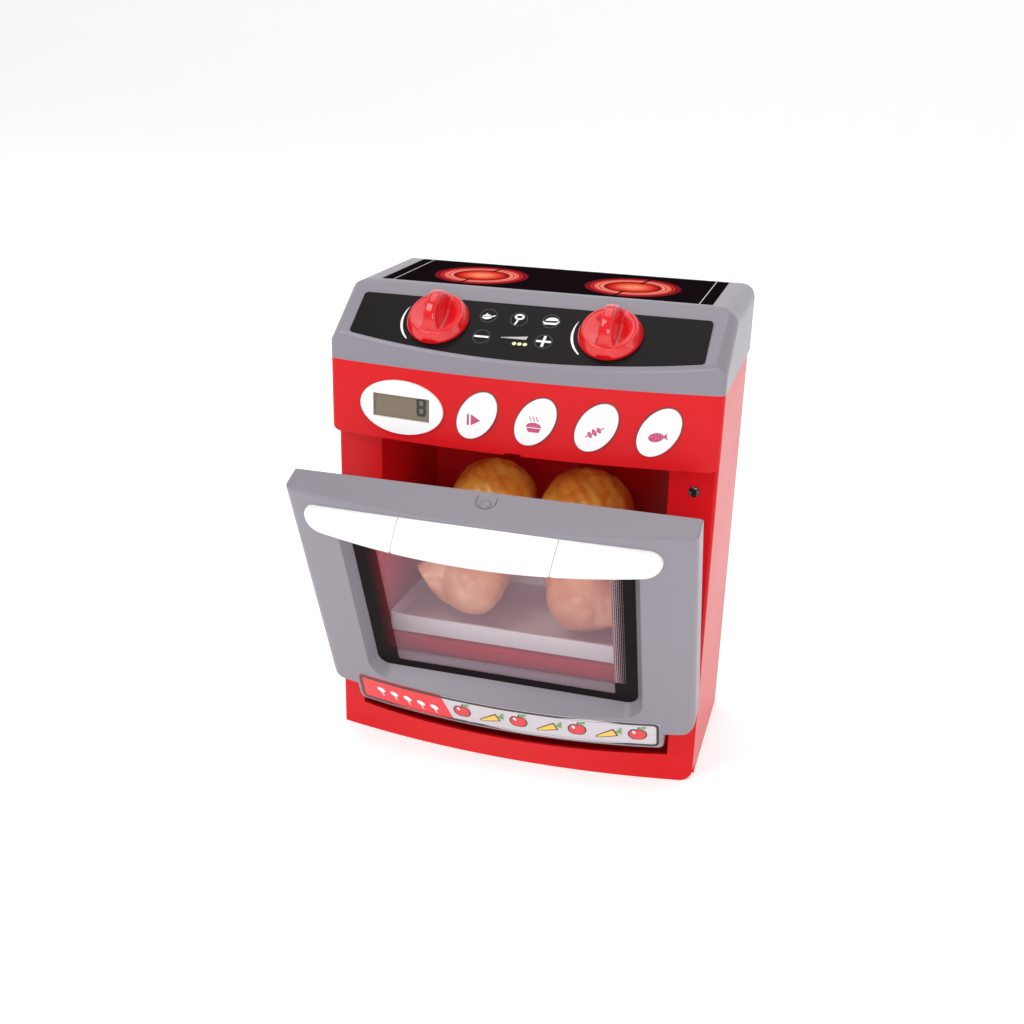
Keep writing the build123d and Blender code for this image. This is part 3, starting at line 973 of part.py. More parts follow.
# ---------------------------------------------------------------- cavity, tray and lamp
def make_cavity():
    """Oven liner with its flange, the white tray, the lamp and the liner's screws."""
    front = PLATE_REAR
    outer = block(-LINER_HALF, LINER_HALF, front, CAVITY_REAR + THIN, LINER_FLOOR, CAVITY_TOP + THIN)
    flange = block(-LINER_FLANGE, LINER_FLANGE, front + 1.0, front + 1.0 + THIN,
                   LINER_FLOOR - 2, CAVITY_TOP + 8)
    flange += block(-LINER_HALF, LINER_HALF, front, front + 1.0, LINER_FLOOR, CAVITY_TOP + THIN)
    liner = outer + flange
    liner -= block(-CAVITY_HALF, CAVITY_HALF, front - 1, CAVITY_REAR, CAVITY_FLOOR, CAVITY_TOP)
    liner -= rod_x(-LINER_HALF - 1, LINER_HALF + 1, SPIT_Y, SPIT_Z, BUSH_R)
    liner -= rod_z(CAVITY_TOP - 1, CAVITY_TOP + THIN + 1, LAMP[0], LAMP[1], 5.0)
    for x, z in LINER_SCREWS:
        liner -= rod_y(front - 1, front + 4, x, z, SCREW_R + FIT)
    for k in range(5):
        x = (k - 2) * 24.0
        liner += block(x - 6, x + 6, CAVITY_REAR - 0.6, CAVITY_REAR + 0.1, SPIT_Z + 19, SPIT_Z + 22)
    post = rod_x(LINER_HALF - 0.5, GEAR_X[0] - 0.4, IDLER_PLACE[0], IDLER_PLACE[1], 5.0)
    post += rod_x(LINER_HALF - 0.5, GEAR_X[1] + 1.6, IDLER_PLACE[0], IDLER_PLACE[1], IDLER_PIN_R)
    add("oven_liner", liner + post)
    add("liner_screws", *[screw_front(x, front + 1.0 + THIN + HEAD_H, z, 5.0) for x, z in LINER_SCREWS])

    rim = CAVITY_FLOOR + TRAY_LIFT + TRAY_RIM
    tray_floor = CAVITY_FLOOR + TRAY_LIFT
    tray = block(-TRAY_HALF, TRAY_HALF, TRAY_FRONT, TRAY_REAR, tray_floor, rim)
    tray = fillet(tray.edges().filter_by(Axis.Z), 5.0)
    hollow = block(-TRAY_HALF + TRAY_THICK, TRAY_HALF - TRAY_THICK, TRAY_FRONT + TRAY_THICK,
                   TRAY_REAR - TRAY_THICK, tray_floor + TRAY_THICK, rim + 1)
    hollow = fillet(hollow.edges().filter_by(Axis.Z), 5.0 - TRAY_THICK)
    tray -= hollow
    for y in (TRAY_FRONT + TRAY_FOOT[1], TRAY_REAR - TRAY_FOOT[1]):
        tray += both_sides(rod_z(CAVITY_FLOOR, tray_floor + TRAY_THICK / 2, TRAY_HALF - TRAY_FOOT[1], y,
                                 TRAY_FOOT[0]))
    add("tray", tray)
    dome = Pos(LAMP[0], LAMP[1], CAVITY_TOP) * Sphere(LAMP_R)
    dome = dome & block(-FAR, FAR, -FAR, FAR, CAVITY_TOP - 6, CAVITY_TOP)
    lamp = dome + rod_z(CAVITY_TOP, CAVITY_TOP + 6, LAMP[0], LAMP[1], 4.9)
    lamp += rod_z(CAVITY_TOP + THIN, CAVITY_TOP + THIN + 1.0, LAMP[0], LAMP[1], 7.0)
    add("oven_lamp", lamp)


# ---------------------------------------------------------------- spit, chickens and gears
def seam_side(side):
    """Half space above or below the chickens' seam plane, which holds the axle."""
    slab = Box(FAR, FAR, FAR, align=(Align.CENTER, Align.CENTER, Align.MIN if side > 0 else Align.MAX))
    return Rot(CHICKEN_TILT, 0, 0) * slab


def ball(lump, shrink=0.0):
    """One rounded lump of a chicken, placed from the middle of its axle."""
    dx, dy, dz, radius = lump
    return Pos(dx, dy, dz) * Rot(0, 90, 0) * Sphere(radius - shrink)


def make_chicken(x, name, halves):
    """Two hollow halves, roasted above the seam and pale below it, set on the spit."""
    seat = Pos(CHICKEN_FIT * x, SPIT_Y, SPIT_Z)
    bore = rod_x(-FAR, FAR, 0, 0, SPIT_R + FIT)
    hub = rod_x(-FAR, FAR, 0, 0, SPIT_R + HUB_WALL)
    for kind, side, lumps in (("roast", 1, halves[0]), ("raw", -1, halves[1])):
        half_space = seam_side(side)
        outer = ball(lumps[0])
        for lump in lumps[1:]:
            outer = outer + ball(lump)
        hollow = ball(lumps[0], SHELL) & (Pos(0, 0, side * SHELL) * half_space)
        shell = scale((outer & half_space) - hollow, by=CHICKEN_FIT)
        tube = hub & scale(hollow, by=CHICKEN_FIT)
        add("chicken_%s_%s" % (kind, name), seat * (shell + tube - bore))


def involute_gear(teeth, bore, width):
    """Spur gear about Z with stub involute teeth, a tooth centred on its X axis."""
    pitch_r = MODULE * teeth / 2
    base_r = pitch_r * math.cos(math.radians(20))
    tip_r = pitch_r + 0.8 * MODULE
    root_r = pitch_r - 1.05 * MODULE
    half_pitch = math.pi / (2 * teeth) - BACKLASH / (2 * pitch_r)
    def roll(r):
        if r <= base_r:
            return 0.0
        t = math.sqrt((r / base_r) ** 2 - 1)
        return t - math.atan(t)
    radii = [root_r, max(base_r, root_r + 0.05), pitch_r, tip_r]
    flank = [(r, half_pitch + roll(pitch_r) - roll(r)) for r in radii]
    points = []
    for k in range(teeth):
        middle = 2 * math.pi * k / teeth
        for r, a in flank:
            points.append((r * math.cos(middle - a), r * math.sin(middle - a)))
        for r, a in reversed(flank):
            points.append((r * math.cos(middle + a), r * math.sin(middle + a)))
    gear = extrude(make_face(Polyline(*points, close=True)), width)
    return gear - Pos(0, 0, width / 2) * Cylinder(bore, width + 2)


def mesh_phase(beta, phase, teeth, next_teeth):
    """Angle of the next gear so that its gap takes the tooth of the one before."""
    pitch = 2 * math.pi / teeth
    share = ((beta - phase) / pitch) % 1.0
    return beta + math.pi + (share + 0.5) * 2 * math.pi / next_teeth


def place_gear(gear, y, z, phase):
    """Stand a gear on an axis along X, with its tooth at an angle from +Y towards +Z."""
    plane = Plane((GEAR_X[0], y, z), x_dir=(0, 1, 0), z_dir=(1, 0, 0))
    return plane * Rot(0, 0, math.degrees(phase)) * gear


def make_drive():
    """Spit, bushes, three gears, gearbox and motor."""
    spit = rod_x(-LINER_HALF - 2.5, GEAR_X[1] + 2.0, SPIT_Y, SPIT_Z, SPIT_R)
    add("spit_axle", spit)
    bushes = []
    for side in (-1, 1):
        a, b = sorted((side * (CAVITY_HALF - 1.0), side * (LINER_HALF + 1.0)))
        sleeve = rod_x(a, b, SPIT_Y, SPIT_Z, BUSH_R)
        a, b = sorted((side * (CAVITY_HALF - 1.0), side * CAVITY_HALF))
        sleeve += rod_x(a, b, SPIT_Y, SPIT_Z, BUSH_R + 2.0)
        bushes.append(sleeve - rod_x(-FAR, FAR, SPIT_Y, SPIT_Z, SPIT_R + FIT))
    add("spit_bushes", *bushes)
    width = GEAR_X[1] - GEAR_X[0]
    down = -math.pi / 2
    idler_phase = mesh_phase(down, 0.0, SPIT_TEETH, IDLER_TEETH)
    pinion_phase = mesh_phase(down, idler_phase, IDLER_TEETH, PINION_TEETH)
    add("spit_gear", place_gear(involute_gear(SPIT_TEETH, SPIT_R, width), SPIT_Y, SPIT_Z, 0.0))
    idler = involute_gear(IDLER_TEETH, IDLER_PIN_R + FIT, width)
    add("idler_gear", place_gear(idler, IDLER_PLACE[0], IDLER_PLACE[1], idler_phase))
    clip = rod_x(GEAR_X[1] + 0.4, GEAR_X[1] + 1.2, IDLER_PLACE[0], IDLER_PLACE[1], IDLER_PIN_R + 1.5)
    clip -= rod_x(GEAR_X[1], GEAR_X[1] + 2, IDLER_PLACE[0], IDLER_PLACE[1], IDLER_PIN_R)
    add("idler_clip", clip)
    pinion = involute_gear(PINION_TEETH, 1.0, width)
    pinion = place_gear(pinion, PINION_PLACE[0], PINION_PLACE[1], pinion_phase)
    pinion += rod_x(GEARBOX_X[1] - 4.0, GEAR_X[1], PINION_PLACE[0], PINION_PLACE[1], PINION_SHAFT)
    add("drive_pinion", pinion)
    case = block(GEARBOX_X[0], GEARBOX_X[1], SPIT_Y - 12, SPIT_Y + 12,
                 PINION_PLACE[1] - GEARBOX_HALF, PINION_PLACE[1] + GEARBOX_HALF)
    case = fillet(case.edges().filter_by(Axis.X), 2.5)
    case -= rod_x(GEARBOX_X[1] - 4.2, GEARBOX_X[1] + 1, PINION_PLACE[0], PINION_PLACE[1], PINION_SHAFT + FIT)
    add("gearbox", case)
    motor = rod_x(GEARBOX_X[0] - MOTOR_LEN, GEARBOX_X[0], SPIT_Y, PINION_PLACE[1], 10.0) & block(
        -FAR, FAR, -FAR, FAR, PINION_PLACE[1] - 7.5, PINION_PLACE[1] + 7.5)
    motor += rod_x(GEARBOX_X[0] - MOTOR_LEN - 2, GEARBOX_X[0] - MOTOR_LEN, SPIT_Y, PINION_PLACE[1], 3.0)
    add("drive_motor", motor)


# ---------------------------------------------------------------- switches
def make_switches():
    """Door switch with its plunger, and the on-off slide at the back."""
    front = BODY_FRONT - PLUNGER_PROUD
    plunger = rod_y(front + 1.0, PLATE_REAR + 3.0, PLUNGER_X, PLUNGER_Z, PLUNGER_R)
    dome = ellipsoid((PLUNGER_X, front + 1.0, PLUNGER_Z), (PLUNGER_R, 1.0, PLUNGER_R))
    plunger += dome & block(0, FAR, -FAR, front + 1.0, 0, FAR)
    plunger += rod_y(PLATE_REAR + GAP, PLATE_REAR + GAP + 1.0, PLUNGER_X, PLUNGER_Z, PLUNGER_R + 1.2)
    add("door_switch_plunger", plunger)
    rear = PLATE_REAR + 3.0 + PLUNGER_TRAVEL + 0.3
    switch = block(PLUNGER_X - 5, INNER_HALF, rear, rear + 7, PLUNGER_Z - 8, PLUNGER_Z + 8)
    add("door_switch", switch)
    wall = BODY_REAR - WALL
    slider = block(SWITCH_X - SWITCH_TRAVEL / 2 - 3 + GAP, SWITCH_X + 3 - SWITCH_TRAVEL / 2 - GAP,
                   wall - 0.5, BODY_REAR + 2.0, SWITCH_Z - 3, SWITCH_Z + 3)
    body_half = SWITCH_TRAVEL / 2 + 6
    case = block(SWITCH_X - body_half, SWITCH_X + body_half, wall - 7, wall, SWITCH_Z - 5, SWITCH_Z + 5)
    case -= block(SWITCH_X - body_half + 2, SWITCH_X + body_half - 2, wall - 0.8, wall + 1,
                  SWITCH_Z - 3.3, SWITCH_Z + 3.3)
    add("power_slider", slider)
    add("power_switch", case)


# ---------------------------------------------------------------- build and write
add("rear_housing", make_rear_housing())
add("front_frame", make_front_frame())
make_base()
make_hob()
make_knob(-1, "left")
make_knob(1, "right")
make_fascia()
make_door()
make_cavity()
make_chicken(CHICKEN_X[0], "left", (LEFT_ROAST, LEFT_RAW))
make_chicken(CHICKEN_X[1], "right", (RIGHT_ROAST, RIGHT_RAW))
make_drive()
make_switches()

os.makedirs("parts", exist_ok=True)
for node, shape in NODES.items():
    export_step(shape, os.path.join("parts", node + ".step"))
    print(node, len(shape.solids()), "solids", round(shape.volume / 1000, 2), "cm3")
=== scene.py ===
"""Looks of a battery play oven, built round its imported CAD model."""

from __future__ import annotations

import logging
import math
from dataclasses import dataclass, field
from enum import Enum
from typing import Callable, Sequence

import bpy
import numpy as np
from mathutils import Matrix, Vector

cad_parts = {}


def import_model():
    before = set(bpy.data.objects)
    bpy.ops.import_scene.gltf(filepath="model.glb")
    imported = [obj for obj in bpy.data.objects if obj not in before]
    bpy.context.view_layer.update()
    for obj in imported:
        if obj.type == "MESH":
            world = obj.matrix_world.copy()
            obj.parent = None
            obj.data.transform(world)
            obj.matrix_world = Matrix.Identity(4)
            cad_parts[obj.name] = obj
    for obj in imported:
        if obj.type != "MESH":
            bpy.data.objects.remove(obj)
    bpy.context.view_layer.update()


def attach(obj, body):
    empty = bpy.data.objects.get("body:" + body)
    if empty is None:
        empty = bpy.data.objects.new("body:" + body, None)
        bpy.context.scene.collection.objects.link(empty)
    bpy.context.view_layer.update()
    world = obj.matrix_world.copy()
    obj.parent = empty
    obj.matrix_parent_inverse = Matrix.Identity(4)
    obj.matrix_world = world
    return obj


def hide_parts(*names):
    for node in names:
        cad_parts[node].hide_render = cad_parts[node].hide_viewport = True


LOG = logging.getLogger("play_oven")
MM = 0.001
FULL_TURN = 2.0 * math.pi
Place = Callable[[np.ndarray, np.ndarray, np.ndarray], np.ndarray]
Colour = tuple[float, float, float, float]
Lump = tuple[float, float, float, float]
Spot = tuple[float, float, float]
Wire = tuple[bpy.types.Node, "str | int"]


def linear(red: int, green: int, blue: int) -> tuple[float, float, float, float]:
    """Turn a colour in 0 to 255 display steps into linear light.

    Args:
        red: red step.
        green: green step.
        blue: blue step.

    Returns:
        The colour as linear red, green, blue and an alpha of one.
    """
    steps = np.array([red, green, blue], float) / 255.0
    low = steps / 12.92
    high = ((steps + 0.055) / 1.055) ** 2.4
    light = np.where(steps <= 0.04045, low, high)
    return float(light[0]), float(light[1]), float(light[2]), 1.0


# ------------------------------------------------------------------ surfaces
@dataclass
class Surface:
    """Points in millimetres with their faces, ready to become a piece."""

    points: np.ndarray
    faces: list[tuple[int, ...]]

    def joined(self, other: "Surface") -> "Surface":
        """Put another surface's points and faces after this one's."""
        shift = len(self.points)
        moved = [tuple(i + shift for i in face) for face in other.faces]
        return Surface(np.vstack([self.points, other.points]), self.faces + moved)


def lofted(rings: np.ndarray, centres: tuple[np.ndarray, np.ndarray]) -> Surface:
    """Close a stack of rings into a solid.

    Neighbouring rings are joined by four-sided faces that wrap round, and the
    first and the last ring are closed by fans to one centre point each.

    Args:
        rings: points, shape (ring, point on the ring, 3), each ring turning the same way.
        centres: the two closing points.

    Returns:
        The closed surface.
    """
    count, around, _ = rings.shape
    row = np.arange(count - 1)[:, None] * around
    col = np.arange(around)[None, :]
    nxt = (col + 1) % around
    quads = np.stack([row + col, row + nxt, row + around + nxt, row + around + col], -1)
    first, last = count * around, count * around + 1
    ends = (count - 1) * around
    ring = np.arange(around)
    step = (ring + 1) % around
    low = np.stack([np.full(around, first), step, ring], -1)
    high = np.stack([np.full(around, last), ends + ring, ends + step], -1)
    faces = [tuple(f) for f in quads.reshape(-1, 4).tolist()]
    faces += [tuple(f) for f in low.tolist()] + [tuple(f) for f in high.tolist()]
    points = np.vstack([rings.reshape(-1, 3), centres[0][None], centres[1][None]])
    return Surface(points, faces)


def slab(outline: np.ndarray, place: Place, low: float, high: float) -> Surface:
    """Raise a flat outline into a thin closed plate that lies on a curved face.

    Each corner (a, b) of the outline is carried to the face by place(a, b, lift),
    once at the low lift and once at the high one, and the two are walled together.

    Args:
        outline: corners, shape (n, 2), anticlockwise as seen from outside.
        place: carries outline coordinates and a lift to points in millimetres.
        low: lift of the plate's underside.
        high: lift of its top.

    Returns:
        The closed plate.
    """
    count = len(outline)
    under = place(outline[:, 0], outline[:, 1], np.full(count, low))
    over = place(outline[:, 0], outline[:, 1], np.full(count, high))
    ring = np.arange(count)
    nxt = (ring + 1) % count
    walls = np.stack([ring, nxt, nxt + count, ring + count], -1).tolist()
    faces = [tuple(f) for f in walls]
    faces += [tuple((ring + count).tolist()), tuple(ring[::-1].tolist())]
    return Surface(np.vstack([under, over]), faces)


def ellipse(centre: tuple[float, float], radii: tuple[float, float], lean: float = 0.0,
            start: float = 0.0, end: float = FULL_TURN, count: int = 36) -> np.ndarray:
    """Outline of a leaning ellipse: centre + turn(lean) of (rx cos t, ry sin t).

    Args:
        centre: middle of the ellipse.
        radii: its two radii.
        lean: turn in degrees, anticlockwise.
        start: first angle t.
        end: last angle t, a full turn later for a whole ellipse.
        count: corners.

    Returns:
        Corners, shape (count, 2).
    """
    whole = abs(end - start - FULL_TURN) < 1e-6
    t = np.linspace(start, end, count, endpoint=not whole)
    a, b = radii[0] * np.cos(t), radii[1] * np.sin(t)
    turn = math.radians(lean)
    x = centre[0] + a * math.cos(turn) - b * math.sin(turn)
    y = centre[1] + a * math.sin(turn) + b * math.cos(turn)
    return np.stack([x, y], -1)


def stroke(path: np.ndarray, width: np.ndarray | float) -> np.ndarray:
    """Outline of a line of ink: the path moved half its width to each side.

    Args:
        path: points, shape (n, 2).
        width: width at each point, or one width.

    Returns:
        Corners of the ribbon, shape (2n, 2), anticlockwise.
    """
    run = np.gradient(path, axis=0)
    run /= np.linalg.norm(run, axis=1, keepdims=True) + 1e-12
    side = np.stack([-run[:, 1], run[:, 0]], -1) * (np.broadcast_to(width, len(path))[:, None] / 2)
    return np.vstack([path - side, (path + side)[::-1]])


def ring_band(centre: tuple[float, float], outer: tuple[float, float], thick: float,
              lean: float = 0.0) -> list[np.ndarray]:
    """Two half bands that make a ring of ink, because one outline can't hold a hole.

    Args:
        centre: middle of the ring.
        outer: outer radii.
        thick: band width.
        lean: turn in degrees.

    Returns:
        The outlines of the two halves.
    """
    inner = (outer[0] - thick, outer[1] - thick)
    halves = []
    for start in (0.0, math.pi):
        rim = ellipse(centre, outer, lean, start, start + math.pi, 25)
        hole = ellipse(centre, inner, lean, start, start + math.pi, 25)
        halves.append(np.vstack([rim, hole[::-1]]))
    return halves


def rounded_box(centre: tuple[float, float], size: tuple[float, float], radius: float,
                lean: float = 0.0) -> np.ndarray:
    """Outline of a box with round corners.

    Each corner is a quarter circle about the point one radius in from both sides.

    Args:
        centre: middle of the box.
        size: width and height.
        radius: corner radius.
        lean: turn in degrees.

    Returns:
        Corners, shape (28, 2), anticlockwise.
    """
    t = np.linspace(0.0, math.pi / 2, 7)
    parts = []
    for k, (sx, sy) in enumerate(((1, 1), (-1, 1), (-1, -1), (1, -1))):
        a = t + k * math.pi / 2
        cx = sx * (size[0] / 2 - radius)
        cy = sy * (size[1] / 2 - radius)
        parts.append(np.stack([cx + radius * np.cos(a), cy + radius * np.sin(a)], -1))
    flat = np.vstack(parts)
    turn = math.radians(lean)
    spin = np.array([[math.cos(turn), math.sin(turn)], [-math.sin(turn), math.cos(turn)]])
    return flat @ spin + np.array(centre)


# ------------------------------------------------------------------ shader groups
class Groups:
    """Effects that several finishes share, each built once as a node group."""

    _made: dict[str, bpy.types.NodeTree] = {}

    @classmethod
    def _start(cls, name: str, inputs: dict[str, float | None],
               outputs: Sequence[str]) -> tuple[bpy.types.NodeTree, Net, bpy.types.Node]:
        """Open a new group with its sockets.

        Args:
            name: the group's name.
            inputs: default of each number input, or None for a vector.
            outputs: names of the outputs, all numbers.

        Returns:
            The group tree, its net and its input node.
        """
        tree = bpy.data.node_groups.new(name, "ShaderNodeTree")
        for label, default in inputs.items():
            kind = "NodeSocketVector" if default is None else "NodeSocketFloat"
            socket = tree.interface.new_socket(label, in_out="INPUT", socket_type=kind)
            if default is not None:
                socket.default_value = default
        for label in outputs:
            tree.interface.new_socket(label, in_out="OUTPUT", socket_type="NodeSocketFloat")
        cls._made[name] = tree
        net = Net(tree)
        return tree, net, net.node("NodeGroupInput")

    @classmethod
    def moulded_skin(cls) -> bpy.types.NodeTree:
        """Skin of a moulding: slow flow marks in the tone and a fine sand-like grain.

        Returns:
            Group with Tone (0 to 1), Roughness and Height outputs.
        """
        if "moulded_skin" in cls._made:
            return cls._made["moulded_skin"]
        tree, net, source = cls._start(
            "moulded_skin", {"Vector": None, "Flow Scale": 14.0, "Grain Scale": 1400.0,
                             "Rough Low": 0.25, "Rough High": 0.4}, ("Tone", "Roughness", "Height"))
        where = (source, "Vector")
        flow = net.node("ShaderNodeTexNoise", Vector=where, Scale=(source, "Flow Scale"), Detail=3.0,
                        Distortion=0.6)
        grain = net.node("ShaderNodeTexNoise", Vector=where, Scale=(source, "Grain Scale"), Detail=2.0)
        spread = net.node("ShaderNodeMapRange", Value=(flow, "Fac"), From_Min=0.3, From_Max=0.7,
                          To_Min=(source, "Rough Low"), To_Max=(source, "Rough High"))
        net.node("NodeGroupOutput", Tone=(flow, "Fac"), Roughness=(spread, "Result"),
                 Height=(grain, "Fac"))
        return tree

    @classmethod
    def bird_skin(cls) -> bpy.types.NodeTree:
        """Skin of a bird: pores, folds and patches that browned more than the rest.

        Returns:
            Group with Patch and Height outputs.
        """
        if "bird_skin" in cls._made:
            return cls._made["bird_skin"]
        tree, net, source = cls._start(
            "bird_skin", {"Vector": None, "Patch Scale": 60.0, "Pore Scale": 700.0},
            ("Patch", "Height"))
        where = (source, "Vector")
        patch = net.node("ShaderNodeTexNoise", Vector=where, Scale=(source, "Patch Scale"), Detail=5.0,
                         Distortion=1.2)
        pores = net.node("ShaderNodeTexVoronoi", Vector=where, Scale=(source, "Pore Scale"))
        mixed = net.maths("ADD", (patch, "Fac"), (pores, "Distance"))
        net.node("NodeGroupOutput", Patch=(patch, "Fac"), Height=mixed)
        return tree

    @classmethod
    def dot_screen(cls) -> bpy.types.NodeTree:
        """Screen of printed dots, which shrink from a start line towards an end line.

        With the plane cut into squares of one pitch, a point is ink where its
        distance to the middle of its square is under a share of the pitch. The
        share falls from 0.42 at |Across| = Start to 0.1 at End, past which there
        is no ink.

        Returns:
            Group with a Mask output.
        """
        if "dot_screen" in cls._made:
            return cls._made["dot_screen"]
        tree, net, source = cls._start(
            "dot_screen", {"Across": 0.0, "Along": 0.0, "Pitch": 0.001, "Start": 0.07, "End": 0.08},
            ("Mask",))
        squares = []
        for label in ("Across", "Along"):
            cell = net.maths("DIVIDE", (source, label), (source, "Pitch"))
            off = net.maths("SUBTRACT", net.maths("FRACT", cell), 0.5)
            squares.append(net.maths("MULTIPLY", off, off))
        away = net.maths("SQRT", net.maths("ADD", *squares))
        width = net.maths("ABSOLUTE", (source, "Across"))
        fade = net.node("ShaderNodeMapRange", Value=width, From_Min=(source, "Start"),
                        From_Max=(source, "End"), To_Min=0.42, To_Max=0.1)
        ink = net.maths("LESS_THAN", away, (fade, "Result"))
        near = net.maths("LESS_THAN", width, (source, "End"))
        net.node("NodeGroupOutput", Mask=net.maths("MULTIPLY", ink, near))
        return tree


class Net:
    """Short words for building a node tree. A wire is a node and one of its outputs."""

    def __init__(self, tree: bpy.types.NodeTree) -> None:
        """Work on one tree, a material's or a group's."""
        self.tree = tree

    def plug(self, target: bpy.types.Node, socket: str | int, value: object) -> None:
        """Set one input of a node.

        Args:
            target: the node.
            socket: name or place of the input.
            value: a plain value, or a wire to join to it.
        """
        if isinstance(value, tuple) and isinstance(value[0], bpy.types.Node):
            self.tree.links.new(value[0].outputs[value[1]], target.inputs[socket])
        else:
            target.inputs[socket].default_value = value

    def feed(self, target: bpy.types.Node, **inputs: object) -> bpy.types.Node:
        """Set inputs of a node by name.

        Args:
            target: the node.
            inputs: values or wires, named with underscores for spaces.

        Returns:
            The node.
        """
        for label, value in inputs.items():
            self.plug(target, label.replace("_", " "), value)
        return target

    def node(self, kind: str, **inputs: object) -> bpy.types.Node:
        """Add a node of a kind and feed its inputs."""
        return self.feed(self.tree.nodes.new(kind), **inputs)

    def maths(self, operation: str, *values: float | tuple, kind: str = "ShaderNodeMath") -> Wire:
        """Add a Math node, or a Vector Math node that gives a number.

        Args:
            operation: Blender's name of the operation.
            values: values or wires for its inputs, in order.
            kind: the kind of node.

        Returns:
            Its output.
        """
        made = self.node(kind)
        made.operation = operation
        for place, value in enumerate(values):
            self.plug(made, place, value)
        return made, "Value"

    def group(self, tree: bpy.types.NodeTree, **inputs: object) -> bpy.types.Node:
        """Place a group and feed its inputs.

        Args:
            tree: the group.
            inputs: values or wires, named with underscores for spaces.

        Returns:
            The group node.
        """
        made = self.node("ShaderNodeGroup")
        made.node_tree = tree
        return self.feed(made, **inputs)

    def ramp(self, share: Wire, stops: Sequence[tuple[float, Colour]]) -> Wire:
        """Add a colour ramp.

        Args:
            share: what is looked up in it.
            stops: place from 0 to 1 and colour of each stop, in order.

        Returns:
            Its colour.
        """
        made = self.node("ShaderNodeValToRGB", Fac=share)
        elements = made.color_ramp.elements
        while len(elements) > 1:
            elements.remove(elements[-1])
        elements[0].position, elements[0].color = stops[0]
        for place, colour in stops[1:]:
            elements.new(place).color = colour
        return made, "Color"

    def mix(self, share: Wire, first: Colour | Wire, second: Colour | Wire) -> Wire:
        """Add a colour mix, whose sockets are 0 Factor, 6 A, 7 B and, going out, 2.

        Args:
            share: the factor.
            first: colour at factor 0.
            second: colour at factor 1.

        Returns:
            The mixed colour.
        """
        made = self.node("ShaderNodeMix")
        made.data_type = "RGBA"
        for socket, value in ((0, share), (6, first), (7, second)):
            self.plug(made, socket, value)
        return made, 2

    def bump(self, height: Wire, strength: float, distance: float) -> Wire:
        """Add a bump.

        Args:
            height: the height.
            strength: how much of it shows.
            distance: how far it stands at height 1, in metres.

        Returns:
            The bent normal.
        """
        made = self.node("ShaderNodeBump", Strength=strength, Distance=distance, Height=height)
        return made, "Normal"

    def where(self) -> Wire:
        """Give the place on the piece."""
        return self.node("ShaderNodeTexCoord"), "Object"

    def moulded(self, shader: bpy.types.Node, where: Wire,
                rough: tuple[float, float]) -> bpy.types.Node:
        """Give a shader the roughness of a moulding's skin.

        Args:
            shader: the shader.
            where: the place on the piece.
            rough: lowest and highest roughness.

        Returns:
            The skin's group node.
        """
        skin = self.group(Groups.moulded_skin(), Vector=where, Rough_Low=rough[0], Rough_High=rough[1])
        self.feed(shader, Roughness=(skin, "Roughness"))
        return skin


# ------------------------------------------------------------------ finishes
@dataclass(frozen=True)
class Moulding:
    """Coloured moulded plastic, rubber or card."""

    name: str
    colour: tuple[int, int, int]
    shade: tuple[int, int, int]
    rough: tuple[float, float] = (0.22, 0.32)
    coat: float = 0.25
    grain: float = 0.02
    metal: float = 0.0
    scatter: float = 0.0
    shine: float = 0.5

    def build(self) -> bpy.types.Material:
        """Make the material, or give back the one made before.

        Returns:
            The material.
        """
        found = bpy.data.materials.get(self.name)
        if found is not None:
            return found
        made, net, shader = start_material(self.name)
        skin = net.moulded(shader, net.where(), self.rough)
        tint = net.mix((skin, "Tone"), linear(*self.shade), linear(*self.colour))
        net.feed(shader, Base_Color=tint, Normal=net.bump((skin, "Height"), self.grain, 0.0004),
                 Coat_Weight=self.coat, Coat_Roughness=0.08, Metallic=self.metal,
                 Subsurface_Weight=self.scatter, Subsurface_Scale=0.004,
                 Specular_IOR_Level=self.shine)
        return made


def start_material(name: str) -> tuple[bpy.types.Material, Net, bpy.types.Node]:
    """Open a material that has only its shader and output.

    Args:
        name: the material's name.

    Returns:
        The material, its net and its shader.
    """
    made = bpy.data.materials.new(name)
    made.use_nodes = True
    made.node_tree.nodes.clear()
    net = Net(made.node_tree)
    shader = net.node("ShaderNodeBsdfPrincipled")
    net.node("ShaderNodeOutputMaterial", Surface=(shader, "BSDF"))
    return made, net, shader


@dataclass(frozen=True)
class BirdSkin:
    """Glossy soft skin of a play bird, browned or pale."""

    name: str
    pale: tuple[int, int, int]
    middle: tuple[int, int, int]
    dark: tuple[int, int, int]
    patch_scale: float = 60.0
    bump: float = 0.25

    def build(self) -> bpy.types.Material:
        """Make the material.

        Returns:
            The material.
        """
        made, net, shader = start_material(self.name)
        skin = net.group(Groups.bird_skin(), Vector=net.where(), Patch_Scale=self.patch_scale)
        patch = (skin, "Patch")
        stops = ((0.36, linear(*self.dark)), (0.5, linear(*self.middle)), (0.66, linear(*self.pale)))
        gloss = net.node("ShaderNodeMapRange", Value=patch, To_Min=0.22, To_Max=0.48)
        net.feed(shader, Base_Color=net.ramp(patch, stops), Roughness=(gloss, "Result"),
                 Normal=net.bump((skin, "Height"), self.bump, 0.0008), Coat_Weight=0.35,
                 Coat_Roughness=0.15, Subsurface_Weight=0.12, Subsurface_Scale=0.003)
        return made


